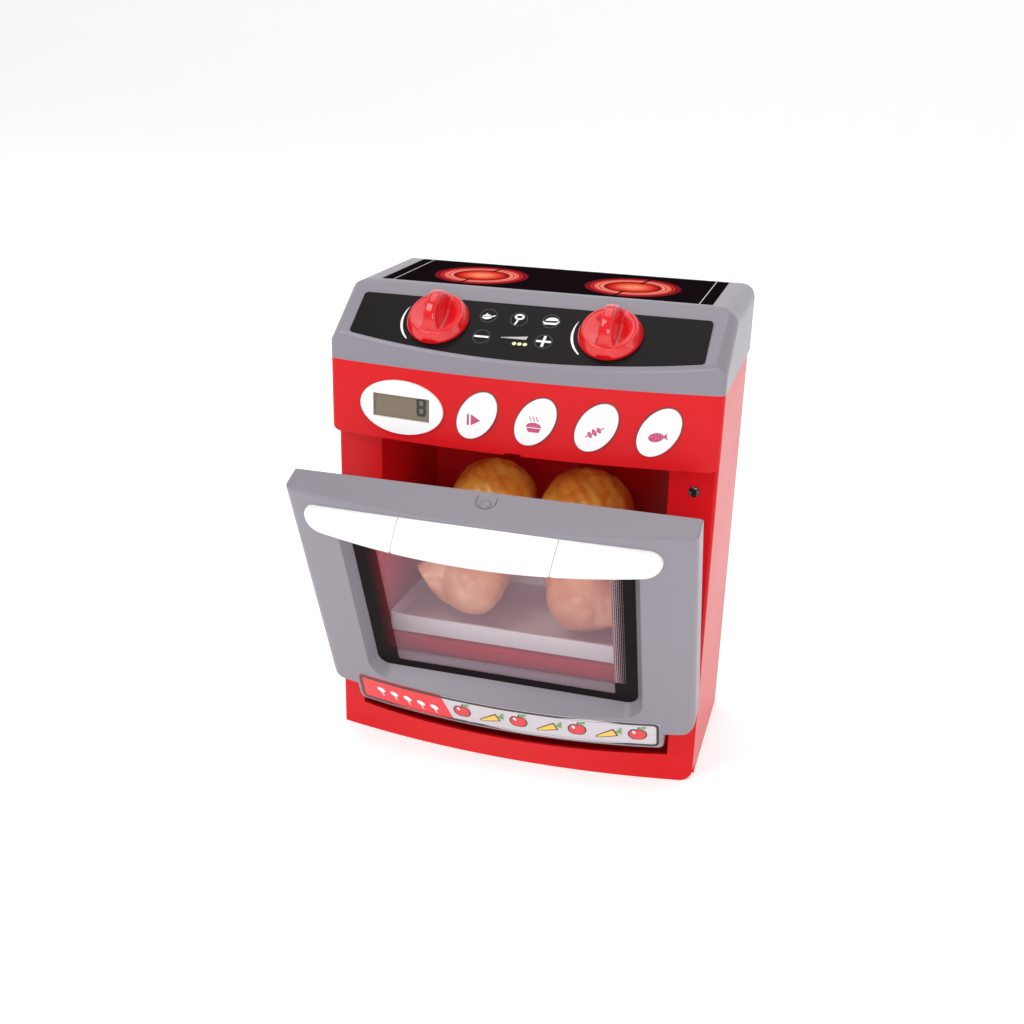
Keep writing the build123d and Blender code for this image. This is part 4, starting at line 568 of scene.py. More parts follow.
RED = Moulding("red_plastic", (208, 18, 26), (204, 16, 24), rough=(0.28, 0.31), coat=0.0, grain=0.008,
              shine=0.18)
KNOB_RED = Moulding("knob_plastic", (214, 18, 26), (210, 16, 24), rough=(0.1, 0.13), coat=0.4,
                    grain=0.0, shine=0.4)
GREY = Moulding("grey_plastic", (136, 131, 140), (131, 126, 135), rough=(0.3, 0.36), coat=0.05,
                shine=0.3)
WHITE = Moulding("white_plastic", (206, 205, 209), (202, 201, 205), rough=(0.22, 0.3))
TRAY_WHITE = Moulding("tray_plastic", (243, 241, 243), (236, 233, 237), rough=(0.3, 0.42))
BLACK = Moulding("black_plastic", (22, 20, 21), (17, 16, 17), rough=(0.3, 0.42))
PLUNGER_BLACK = Moulding("plunger_plastic", (20, 18, 18), (15, 13, 14), rough=(0.1, 0.16), coat=0.6)
SHEET_BLACK = Moulding("panel_print", (24, 20, 22), (19, 16, 18), rough=(0.22, 0.3), coat=0.0,
                       grain=0.01, shine=0.08)
FAINT_INK = Moulding("faint_ink", (52, 47, 50), (44, 40, 43), rough=(0.3, 0.36))
WHITE_INK = Moulding("white_ink", (240, 238, 240), (232, 230, 232), rough=(0.3, 0.4))
YELLOW_INK = Moulding("yellow_ink", (238, 234, 170), (228, 222, 152), rough=(0.3, 0.4))
PINK_INK = Moulding("magenta_ink", (196, 58, 112), (182, 48, 100), rough=(0.3, 0.4))
DARK_INK = Moulding("dark_ink", (38, 28, 32), (30, 24, 26), rough=(0.3, 0.4))
# Dark wine ink for the rings round the push buttons: painted shade that stands in for the shadow in the
# gap round each button.
GAP_SHADE_INK = Moulding("wine_ink", (92, 16, 24), (82, 13, 20), rough=(0.3, 0.4))
RED_INK = Moulding("red_ink", (222, 46, 52), (212, 38, 44), rough=(0.28, 0.36))
GREEN_INK = Moulding("green_ink", (112, 158, 78), (98, 144, 66), rough=(0.3, 0.4))
GOLD_INK = Moulding("gold_ink", (240, 196, 78), (230, 182, 62), rough=(0.3, 0.4))
ROSE_INK = Moulding("rose_ink", (206, 110, 128), (192, 96, 114), rough=(0.3, 0.4))
LCD_GLASS = Moulding("display_glass", (120, 105, 83), (111, 97, 76), rough=(0.12, 0.2), coat=0.1)
STEEL = Moulding("steel", (188, 188, 192), (170, 170, 175), rough=(0.2, 0.34), coat=0.0, metal=1.0)
BRASS = Moulding("brass", (214, 180, 98), (196, 160, 82), rough=(0.22, 0.36), coat=0.0, metal=1.0)
GEAR = Moulding("gear_plastic", (232, 230, 222), (222, 220, 212), rough=(0.35, 0.45), coat=0.05)
BOARD = Moulding("circuit_board", (34, 104, 58), (24, 84, 46), rough=(0.3, 0.45), coat=0.3)
RUBBER = Moulding("mat_rubber", (96, 96, 98), (82, 82, 84), rough=(0.6, 0.75), coat=0.0, grain=0.08)
CELL = Moulding("cell_wrap", (52, 82, 132), (42, 68, 112), rough=(0.25, 0.35), coat=0.4)
LAMP = Moulding("lamp_lens", (250, 226, 170), (244, 214, 150), rough=(0.12, 0.2), scatter=0.3)
ROAST = BirdSkin("roast_skin", (254, 204, 96), (250, 182, 72), (238, 152, 54), bump=0.12)
RAW = BirdSkin("raw_skin", (250, 194, 156), (244, 176, 138), (228, 152, 114), patch_scale=30.0,
               bump=0.08)


@dataclass(frozen=True)
class Pane:
    """Thin clear plastic with a faint rosy haze."""

    name: str = "clear_pane"
    haze: tuple[int, int, int] = (178, 150, 166)
    cover: float = 0.14

    def build(self) -> bpy.types.Material:
        """Make the material: a haze that is a little denser in slow clouds.

        Returns:
            The material.
        """
        made, net, shader = start_material(self.name)
        skin = net.moulded(shader, net.where(), (0.04, 0.08))
        veil = net.node("ShaderNodeMapRange", Value=(skin, "Tone"), To_Min=self.cover * 0.9,
                        To_Max=self.cover * 1.1)
        net.feed(shader, Alpha=(veil, "Result"), Base_Color=linear(*self.haze))
        return made


@dataclass(frozen=True)
class HobPrint:
    """Gloss black plate with two glowing ring elements and a white line near each end."""

    name: str = "hob_print"
    burner_x: float = 49.0
    burner_y: float = 3.6
    reach: float = 32.0
    line_x: float = 95.5
    line_half: float = 0.28
    gap_angle: float = 79.0
    gap_half: float = 0.9
    gap_from: float = 13.0
    glow_reach: float = 30.0
    bands: tuple[tuple[float, tuple[int, int, int]], ...] = (
        (0.0, (120, 96, 66)), (1.3, (226, 140, 104)), (6.0, (222, 112, 84)),
        (11.0, (206, 60, 44)), (15.0, (170, 28, 24)), (17.4, (92, 14, 14)),
        (18.2, (212, 96, 84)), (19.8, (232, 146, 128)), (20.4, (96, 20, 20)),
        (21.2, (224, 112, 94)), (23.6, (218, 92, 78)), (24.4, (72, 12, 15)),
        (25.2, (196, 46, 46)), (26.6, (164, 28, 36)), (27.2, (46, 9, 13)),
        (28.2, (140, 26, 44)), (29.4, (104, 18, 32)), (30.4, (20, 12, 15)))

    def build(self) -> bpy.types.Material:
        """Make the material.

        The colour is read from a ramp by the distance to the nearer element's
        middle, is black in a narrow straight gap across the rings, and white on
        the two lines.

        Returns:
            The material.
        """
        made, net, shader = start_material(self.name)
        where = net.where()
        net.moulded(shader, where, (0.14, 0.2))
        parts = net.node("ShaderNodeSeparateXYZ", Vector=where)
        middle = net.maths("MULTIPLY", net.maths("SIGN", (parts, "X")), self.burner_x * MM)
        dx = net.maths("SUBTRACT", (parts, "X"), middle)
        dy = net.maths("SUBTRACT", (parts, "Y"), self.burner_y * MM)
        flat = (net.node("ShaderNodeCombineXYZ", X=dx, Y=dy), "Vector")
        away = net.maths("LENGTH", flat, kind="ShaderNodeVectorMath")
        stops = [(r / self.reach, linear(*c)) for r, c in self.bands]
        rings = net.ramp(net.maths("DIVIDE", away, self.reach * MM), stops)
        turn = math.radians(self.gap_angle)
        square = (-math.sin(turn), math.cos(turn), 0.0)
        across = net.maths("DOT_PRODUCT", flat, square, kind="ShaderNodeVectorMath")
        narrow = net.maths("LESS_THAN", net.maths("ABSOLUTE", across), self.gap_half * MM)
        outside = net.maths("GREATER_THAN", away, self.gap_from * MM)
        broken = net.mix(net.maths("MULTIPLY", narrow, outside), rings, linear(18, 12, 14))
        line = net.maths("COMPARE", net.maths("ABSOLUTE", (parts, "X")), self.line_x * MM,
                         self.line_half * MM)
        near = net.maths("LESS_THAN", away, self.glow_reach * MM)
        net.feed(shader, Base_Color=net.mix(line, broken, linear(205, 205, 208)),
                 Emission_Color=net.mix(near, linear(0, 0, 0), broken), Emission_Strength=0.1,
                 Specular_IOR_Level=0.0)
        return made


@dataclass(frozen=True)
class BorderPrint:
    """Black window border with dots up both sides, dark red on the left and pale on the right."""

    name: str = "border_print"
    tilt: float = 22.35
    pitch: float = 1.15
    start: float = 70.8
    end: float = 78.6
    floor: float = 107.0

    def build(self) -> bpy.types.Material:
        """Make the material, with its pattern laid out on the closed door.

        The dots lie where z is above the floor value, at the sides that the dot
        screen leaves between start and end.

        Returns:
            The material.
        """
        made, net, shader = start_material(self.name)
        where = net.where()
        net.moulded(shader, where, (0.2, 0.28))
        shut = net.node("ShaderNodeMapping")
        shut.vector_type = "TEXTURE"
        net.feed(shut, Vector=where, Rotation=(math.radians(self.tilt), 0.0, 0.0))
        parts = net.node("ShaderNodeSeparateXYZ", Vector=(shut, "Vector"))
        dots = net.group(Groups.dot_screen(), Across=(parts, "X"), Along=(parts, "Z"),
                         Pitch=self.pitch * MM, Start=self.start * MM, End=self.end * MM)
        above = net.maths("GREATER_THAN", (parts, "Z"), self.floor * MM)
        right = net.maths("GREATER_THAN", (parts, "X"), 0.0)
        spot = net.mix(right, linear(96, 26, 34), linear(190, 158, 164))
        tint = net.mix(net.maths("MULTIPLY", (dots, "Mask"), above), linear(28, 22, 25), spot)
        net.feed(shader, Base_Color=tint, Specular_IOR_Level=0.03)
        return made


@dataclass(frozen=True)
class StripPrint:
    """Printed strip on the door's tab: red left end and pale grey field."""

    name: str = "strip_print"
    break_x: float = -40.0
    break_z: float = 46.0
    slant: float = 0.35

    def build(self) -> bpy.types.Material:
        """Make the material.

        Colour changes from red to grey across a slanted line, x + slant times z.

        Returns:
            The material.
        """
        made, net, shader = start_material(self.name)
        where = net.where()
        net.moulded(shader, where, (0.2, 0.28))
        parts = net.node("ShaderNodeSeparateXYZ", Vector=where)
        lean = net.maths("MULTIPLY_ADD", (parts, "Z"), self.slant, (parts, "X"))
        past = net.maths("GREATER_THAN", lean, (self.break_x + self.slant * self.break_z) * MM)
        net.feed(shader, Base_Color=net.mix(past, linear(222, 46, 52), linear(196, 192, 198)))
        return made


# ------------------------------------------------------------------ places on the body
@dataclass(frozen=True)
class Bow:
    """Bowed front: an arc over a half width whose middle stands forward by a rise."""

    half: float
    end_y: float
    rise: float

    def front(self, x: np.ndarray, lift: np.ndarray | float) -> np.ndarray:
        """Give y on the arc: end - rise + R - sqrt((R + lift)^2 - x^2).

        Args:
            x: places across.
            lift: distance in front of the arc.

        Returns:
            The y of each place.
        """
        radius = (self.half ** 2 + self.rise ** 2) / (2 * self.rise)
        return self.end_y - self.rise + radius - np.sqrt((radius + lift) ** 2 - x ** 2)


FASCIA_BOW = Bow(120.0, -75.0, 11.1)
DOOR_BOW = Bow(120.0, -83.8, 11.5)


def on_fascia(x: np.ndarray, z: np.ndarray, lift: np.ndarray) -> np.ndarray:
    """Carry (x, z) to the bowed fascia, a lift in front of it."""
    return np.stack([x, FASCIA_BOW.front(x, lift), z], -1)


@dataclass(frozen=True)
class PanelPlane:
    """Slope of the control panel."""

    low: tuple[float, float] = (-75.5, 274.2)
    high: tuple[float, float] = (-49.0, 293.0)

    @property
    def slope(self) -> float:
        """Angle of the slope above the level, in radians."""
        return math.atan2(self.high[1] - self.low[1], self.high[0] - self.low[0])

    def at(self, x: np.ndarray, up: np.ndarray, lift: np.ndarray) -> np.ndarray:
        """Carry a place across and up the slope to a point a lift above it.

        Args:
            x: across.
            up: up the slope from its lower edge.
            lift: off the face.

        Returns:
            Points in millimetres.
        """
        c, s = math.cos(self.slope), math.sin(self.slope)
        y = self.low[0] + up * c - lift * s
        z = self.low[1] + up * s + lift * c
        return np.stack([x, y, z], -1)


@dataclass(frozen=True)
class DoorFrame:
    """The open door's own frame: x across, s down from its top edge, lift off its front."""

    tilt: float = 22.35
    pivot: tuple[float, float] = (-79.6, 48.05)
    top: float = 210.05

    def opened(self, points: np.ndarray) -> np.ndarray:
        """Turn points of the shut door by the tilt about the hinge axis.

        Args:
            points: points in millimetres, last axis x, y, z.

        Returns:
            The points on the open door.
        """
        turn = math.radians(self.tilt)
        y = points[..., 1] - self.pivot[0]
        z = points[..., 2] - self.pivot[1]
        out = points.copy()
        out[..., 1] = self.pivot[0] + y * math.cos(turn) - z * math.sin(turn)
        out[..., 2] = self.pivot[1] + y * math.sin(turn) + z * math.cos(turn)
        return out

    def front(self, x: np.ndarray, s: np.ndarray, lift: np.ndarray) -> np.ndarray:
        """Carry a place on the door to its bowed front."""
        shut = np.stack([x, DOOR_BOW.front(x, lift), self.top - s], -1)
        return self.opened(shut)


PANEL = PanelPlane()
DOOR = DoorFrame()


# ------------------------------------------------------------------ making pieces
def make_piece(name: str, surface: Surface, finish: bpy.types.Material, body: str,
               smooth: bool = True, angle: float = 40.0) -> bpy.types.Object:
    """Make a piece from a surface, dress it and let it ride on a body.

    Args:
        name: the piece's name.
        surface: its points and faces, in millimetres.
        finish: its material.
        body: CAD body that carries it.
        smooth: true to shade smoothly.
        angle: edges sharper than this, in degrees, stay sharp.

    Returns:
        The object.
    """
    mesh = bpy.data.meshes.new(name)
    mesh.from_pydata((surface.points * MM).tolist(), [], surface.faces)
    mesh.materials.append(finish)
    mesh.validate()
    made = bpy.data.objects.new(name, mesh)
    bpy.context.scene.collection.objects.link(made)
    if smooth:
        mesh.polygons.foreach_set("use_smooth", np.ones(len(mesh.polygons), bool))
        mesh.set_sharp_from_angle(angle=math.radians(angle))
    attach(made, body)
    LOG.info("made %s with %d points", name, len(surface.points))
    return made


def dress(node: str, finish: bpy.types.Material) -> None:
    """Give a CAD node a finish in place of its plain one.

    Args:
        node: the CAD node.
        finish: the material for every slot.
    """
    mesh = bpy.data.objects[node].data
    mesh.materials.clear()
    mesh.materials.append(finish)
    LOG.info("dressed %s", node)


@dataclass
class Print:
    """Ink laid on one face, kept as thin plates grouped by finish and layer."""

    place: Place
    body: str
    slot: str
    thick: float = 0.06
    base: float = 0.02
    plates: dict[tuple[str, int], list[np.ndarray]] = field(default_factory=dict)
    inks: dict[str, Moulding] = field(default_factory=dict)

    def ink(self, finish: Moulding, layer: int, *outlines: np.ndarray) -> None:
        """Lay outlines down in one ink.

        Args:
            finish: the ink.
            layer: 0 lies on the face and higher layers on top.
            outlines: closed outlines in the face's own coordinates.
        """
        self.inks[finish.name] = finish
        self.plates.setdefault((finish.name, layer), []).extend(outlines)

    def build(self, name: str) -> list[bpy.types.Object]:
        """Make one piece for each ink and layer.

        Args:
            name: start of the pieces' names.

        Returns:
            The pieces.
        """
        made = []
        for (ink, layer), outlines in self.plates.items():
            low = self.base + layer * self.thick
            whole = Surface(np.zeros((0, 3)), [])
            for outline in outlines:
                whole = whole.joined(slab(outline, self.place, low, low + self.thick))
            finish = self.inks[ink].build()
            label = f"{name}_{ink}_{layer}"
            made.append(make_piece(label, whole, finish, self.body, smooth=False))
        return made


# ------------------------------------------------------------------ hob and control panel
@dataclass
class Knob:
    """Round knob with a skirt, a bowl for a face and a fin across it."""

    radius: float = 19.0
    lift: float = 0.3
    skirt_top: float = 1.4
    rim_top: float = 6.4
    rim_out: float = 16.4
    rim_wide: float = 1.8
    rim_crown: float = 0.35
    dish: float = 2.6
    apex: float = 19.0
    fin_foot: float = 4.0
    fin_drop: float = 1.3
    fin_edge: float = 0.36
    half_wide: float = 4.4
    half_long: float = 15.2
    shaft: float = 4.0
    shaft_low: float = -7.5
    rings: int = 91
    around: int = 220

    def surface(self, middle_x: float, middle_up: float) -> Surface:
        """Work out a knob as a height over a disc.

        Outside the rim the side falls as a cone to the skirt. Inside it the face is
        a bowl, deepest in the middle by a cosine. The fin is an arc along the slope,
        highest in the middle, whose sides fall off as a steep S curve of the distance
        from its middle plane. The higher of the two wins softly.

        Args:
            middle_x: middle across the panel.
            middle_up: middle up its slope.

        Returns:
            The closed knob with its shaft.
        """
        across = np.linspace(0.0, 1.0, self.rings + 1)[1:]
        r = self.radius * (1 - (1 - across) ** 1.25)
        t = np.linspace(0.0, FULL_TURN, self.around, endpoint=False)
        rr, tt = np.meshgrid(r, t, indexing="ij")
        x, y = rr * np.cos(tt), rr * np.sin(tt)
        fall = np.clip((self.radius - rr) / (self.radius - self.rim_out), 0.0, 1.0)
        cone = self.skirt_top + (self.rim_top - self.skirt_top) * fall ** 0.85
        inside = self.rim_out - self.rim_wide
        hollow = 0.5 + 0.5 * np.cos(math.pi * np.clip(rr / inside, 0.0, 1.0) ** 1.6)
        bowl = self.rim_top - self.dish * hollow
        half_rim = self.rim_wide / 2
        crown = self.rim_crown * np.clip(1 - ((rr - inside - half_rim) / half_rim) ** 2, 0.0, 1.0)
        base = np.where(rr > self.rim_out, cone, np.where(rr > inside, self.rim_top, bowl)) + crown
        rise = self.apex - self.fin_foot
        arc = (self.half_long ** 2 + rise ** 2) / (2 * rise)
        crest = self.apex - arc + np.sqrt(np.clip(arc ** 2 - y ** 2, 0.0, None))
        crest = crest - self.fin_drop * np.clip(np.abs(x) / self.half_wide, 0.0, 1.3) ** 3
        width = self.half_wide + 0.5 * (np.abs(y) / self.half_long) ** 2
        wall = 1.0 / (1.0 + np.exp(np.clip((np.abs(x) - width) / self.fin_edge, -60.0, 60.0)))
        top = np.stack([x, y, base + np.clip(crest - base, 0.0, None) * wall], -1)
        skirt = ((self.radius, 0.9), (self.radius * 0.995, 0.0), (self.radius * 0.9, 0.0),
                 (self.shaft, 0.0), (self.shaft, self.shaft_low))
        walls = [np.stack([wide * np.cos(t), wide * np.sin(t), np.full_like(t, level)], -1)
                 for wide, level in skirt]
        rings = np.concatenate([top, np.array(walls)], 0)[::-1]
        shape = lofted(rings, (np.array([0.0, 0.0, self.shaft_low]), np.array([0.0, 0.0, self.apex])))
        p = shape.points
        shape.points = PANEL.at(p[:, 0] + middle_x, p[:, 1] + middle_up, p[:, 2] + self.lift)
        return shape


@dataclass
class ControlPanel:
    """Sloping black panel with its pictograms, and the two knobs."""

    knob_x: float = 52.4
    knob_shift: float = -2.0
    knob_up: float = 14.4
    halo: float = 5.3
    ticks: int = 13
    first_tick: float = -12.8
    tick_step: float = 1.18
    lamps: tuple[float, float, float] = (-4.2, -1.0, 2.3)
    arc_radius: float = 22.4
    arc_ends: tuple[float, float] = (157.0, 236.0)
    arc_width: float = 1.35
    panel_foot: float = -2.0

    def pot(self, print_: Print, x: float, up: float) -> None:
        """Draw a lidded pan with a handle to the right.

        Args:
            print_: the panel's print.
            x: middle across.
            up: middle up the slope.
        """
        bowl = ellipse((x - 0.6, up - 0.9), (3.1, 2.0), 8.0, math.pi, FULL_TURN, 20)
        lid = ellipse((x - 0.9, up - 0.4), (2.6, 1.1), 8.0, 0.0, math.pi, 16)
        knob = ellipse((x - 1.1, up + 1.2), (0.6, 0.5))
        grip = stroke(np.array([[x + 2.2, up - 0.6], [x + 4.2, up + 0.3]]), 0.8)
        print_.ink(WHITE_INK, 1, bowl, lid, knob, grip)

    def ladle(self, print_: Print, x: float, up: float) -> None:
        """Draw a round ladle with its handle down, about the middle (x, up)."""
        print_.ink(WHITE_INK, 1, *ring_band((x, up + 1.9), (3.0, 2.3), 1.3))
        print_.ink(WHITE_INK, 1, stroke(np.array([[x - 0.5, up - 0.7], [x - 1.6, up - 4.4]]), 1.1))

    def roast_dish(self, print_: Print, x: float, up: float) -> None:
        """Draw a loaf in a shallow dish.

        Args:
            print_: the panel's print.
            x: middle across.
            up: middle up the slope.
        """
        loaf = ellipse((x + 0.5, up + 0.4), (3.9, 2.6), 4.0, 0.0, math.pi, 20)
        dish = stroke(np.array([[x - 4.5, up - 0.4], [x - 3.5, up - 2.0], [x + 3.2, up - 1.8],
                                [x + 5.1, up + 0.2]]), np.array([0.6, 1.6, 1.6, 0.6]))
        print_.ink(WHITE_INK, 1, loaf, dish)

    def heat_scale(self, print_: Print) -> None:
        """Draw the rising row of heat ticks and three lamps below it.

        Args:
            print_: the panel's print.
        """
        foot, width = 5.4, 0.62
        for k in range(self.ticks):
            x = self.first_tick + self.tick_step * k
            tall = 0.5 + 0.17 * k
            tick = np.array([[x, foot], [x + 0.35 * tall, foot + tall]])
            print_.ink(WHITE_INK, 1, stroke(tick, width))
        for x in self.lamps:
            print_.ink(YELLOW_INK, 1, ellipse((x, 1.8), (1.3, 1.2), count=18))

    def crescent(self, print_: Print, side: float) -> None:
        """Draw the white crescent that shows beside a knob.

        It follows a circle round the knob and thins to nothing at both ends.

        Args:
            print_: the panel's print.
            side: -1 for the left knob and 1 for the right.
        """
        points = 34
        t = np.radians(np.linspace(*self.arc_ends, points))
        middle_x = self.knob_shift + side * self.knob_x
        middle = np.stack([middle_x + self.arc_radius * np.cos(t),
                           self.knob_up + self.arc_radius * np.sin(t)], -1)
        width = 0.12 + self.arc_width * np.sin(np.linspace(0.0, math.pi, points)) ** 0.8
        keep = middle[:, 1] > self.panel_foot
        print_.ink(WHITE_INK, 1, stroke(middle[keep], width[keep]))

    def build(self) -> None:
        """Print the panel and make the knobs."""
        print_ = Print(PANEL.at, "housing", "black_print")
        spots = ((-25.0, 21.6), (-6.0, 20.7), (13.4, 21.4), (-25.0, 4.9), (12.6, 5.4))
        for x, up in spots:
            print_.ink(FAINT_INK, 0, *ring_band((x, up), (self.halo, self.halo), 0.35))
        self.pot(print_, *spots[0])
        self.ladle(print_, *spots[1])
        self.roast_dish(print_, *spots[2])
        print_.ink(WHITE_INK, 1, rounded_box(spots[3], (8.9, 1.4), 0.3))
        x, up = spots[4]
        print_.ink(WHITE_INK, 1, rounded_box((x, up), (8.9, 1.45), 0.3))
        print_.ink(WHITE_INK, 2, rounded_box((x, up), (1.6, 8.4), 0.3, -4.0))
        self.heat_scale(print_)
        for side in (-1.0, 1.0):
            self.crescent(print_, side)
        print_.build("panel_print")
        for side, word in ((-1.0, "left"), (1.0, "right")):
            shape = Knob().surface(self.knob_shift + side * self.knob_x, self.knob_up)
            knob = make_piece(f"{word}_knob_grip", shape, KNOB_RED.build(), f"{word}_knob",
                              angle=50.0)
            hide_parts(f"knob_{word}")


# ------------------------------------------------------------------ display and buttons
class Motif(Enum):
    """What is printed on a push button."""

    PLAY = "start_button"
    PIE = "oven_button"
    SKEWER = "grill_button"
    FISH = "steak_button"


@dataclass
class Fascia:
    """Display digit, a thin dark ring of painted gap shade round each button, and its pictogram."""

    first_x: float = -22.3
    pitch: float = 35.8
    middle_z: float = 233.3
    oval: tuple[float, float] = (10.4, 16.0)
    lean: float = -34.0
    button_proud: float = 1.4
    ring_gap: float = 0.75
    ring_thick: float = 0.4
    motif_shift: tuple[float, float] = (-0.9, -2.8)
    digit_x: float = -58.0
    digit_z: float = 233.6
    digit_size: tuple[float, float] = (6.4, 11.4)
    digit_bar: float = 1.9
    glass: tuple[float, float] = (-71.0, -82.04)
    glass_half: float = 19.3

    def digit(self) -> None:
        """Lay the seven bars of an 8 on the display's glass.

        The glass is flat and lies along the chord of the fascia's bow behind it.
        """
        middle_x, middle_y = self.glass
        ends = FASCIA_BOW.front(np.array([middle_x - self.glass_half, middle_x + self.glass_half]), 0.0)
        lean = float(ends[1] - ends[0]) / (2 * self.glass_half)

        def flat(x: np.ndarray, z: np.ndarray, lift: np.ndarray) -> np.ndarray:
            """Carry (x, z) to the glass, a lift in front of it."""
            return np.stack([x, middle_y + lean * (x - middle_x) - lift, z], -1)

        print_ = Print(flat, "housing", "lcd")
        w, h = self.digit_size
        bar = self.digit_bar
        for level in (-0.5, 0.0, 0.5):
            print_.ink(DARK_INK, 1, rounded_box((self.digit_x, self.digit_z + level * (h - bar)),
                                                (w - bar * 0.8, bar), 0.3))
        for sx in (-0.5, 0.5):
            for sz in (-0.25, 0.25):
                place = (self.digit_x + sx * (w - bar), self.digit_z + sz * (h - bar))
                print_.ink(DARK_INK, 1, rounded_box(place, (bar, h / 2 - bar * 0.7), 0.3))
        print_.build("display_digit")

    def motif(self, kind: Motif, print_: Print, x: float, z: float) -> None:
        """Draw one button's pictogram.

        Args:
            kind: which pictogram.
            print_: the button's print.
            x: middle across.
            z: middle up.
        """
        ink = PINK_INK
        if kind is Motif.PLAY:
            wedge = np.array([[x - 2.6, z - 3.4], [x + 3.4, z], [x - 2.6, z + 3.4]])
            print_.ink(ink, 0, wedge)
            print_.ink(ink, 0, rounded_box((x - 4.4, z), (1.3, 6.8), 0.4))
        elif kind is Motif.PIE:
            crust = ellipse((x, z - 0.4), (4.6, 2.9), 0.0, 0.0, math.pi, 22)
            print_.ink(ink, 0, crust)
            tin = np.array([[x - 4.2, z - 0.9], [x - 3.2, z - 3.4], [x + 3.2, z - 3.4],
                            [x + 4.2, z - 0.9]])
            print_.ink(ink, 0, tin)
            for k in (-1, 0, 1):
                t = np.linspace(0.0, 1.0, 12)
                curl = np.stack([x + 2.0 * k + 0.5 * np.sin(FULL_TURN * t), z + 3.3 + 2.8 * t], -1)
                print_.ink(ink, 0, stroke(curl, 0.5))
            for k in (-1, 0, 1):
                print_.ink(ROSE_INK, 1, stroke(np.array([[x + 1.9 * k - 0.4, z + 0.2],
                                                         [x + 1.9 * k + 0.4, z + 1.6]]), 0.5))
        elif kind is Motif.SKEWER:
            print_.ink(ink, 0, stroke(np.array([[x - 5.4, z - 3.2], [x + 5.6, z + 3.2]]), 0.6))
            for k, size in enumerate((2.0, 2.3, 1.9)):
                at = -2.6 + 2.6 * k
                spot = (x + at, z + at * 0.58)
                print_.ink(ink, 1, ellipse(spot, (1.1, size), 30.0, count=20))
                print_.ink(ROSE_INK, 2, ellipse(spot, (0.4, size * 0.5), 30.0, count=14))
        else:
            print_.ink(ink, 0, ellipse((x - 0.6, z), (4.4, 2.7), 12.0))
            tail = np.array([[x + 3.0, z + 0.7], [x + 6.0, z + 3.2], [x + 5.3, z + 1.0],
                             [x + 6.3, z - 1.4]])
            print_.ink(ink, 0, tail[::-1])
            print_.ink(ROSE_INK, 1, ellipse((x - 3.2, z + 0.2), (0.55, 0.5), count=12))
            for k in (0, 1, 2):
                t = np.linspace(-0.9, 0.9, 9)
                curve = np.stack([x - 1.0 + 1.5 * k + 0.5 * np.cos(t * 1.5), z + 1.7 * t + 0.2 * k], -1)
                print_.ink(ROSE_INK, 1, stroke(curve, 0.42))

    def build(self) -> None:
        """Print the display, a thin wine-coloured ring of painted gap shade round each button, and its
        pictogram.
        """
        self.digit()
        for k, kind in enumerate(Motif):
            proud = self.button_proud

            def raised(x: np.ndarray, z: np.ndarray, lift: np.ndarray) -> np.ndarray:
                """Carry (x, z) to a button's face."""
                return on_fascia(x, z, lift + proud)

            x = self.first_x + k * self.pitch
            outline = Print(on_fascia, "housing", "strip_print")
            # The ring round each button is painted shade: a dark band where the gap round the button
            # lies in shadow.
            rim = (self.oval[0] + self.ring_gap, self.oval[1] + self.ring_gap)
            outline.ink(GAP_SHADE_INK, 0, *ring_band((x, self.middle_z), rim, self.ring_thick, self.lean))
            outline.build(kind.value + "_outline")
            print_ = Print(raised, kind.value, "strip_print")
            self.motif(kind, print_, x + self.motif_shift[0], self.middle_z + self.motif_shift[1])
            print_.build(kind.value + "_print")


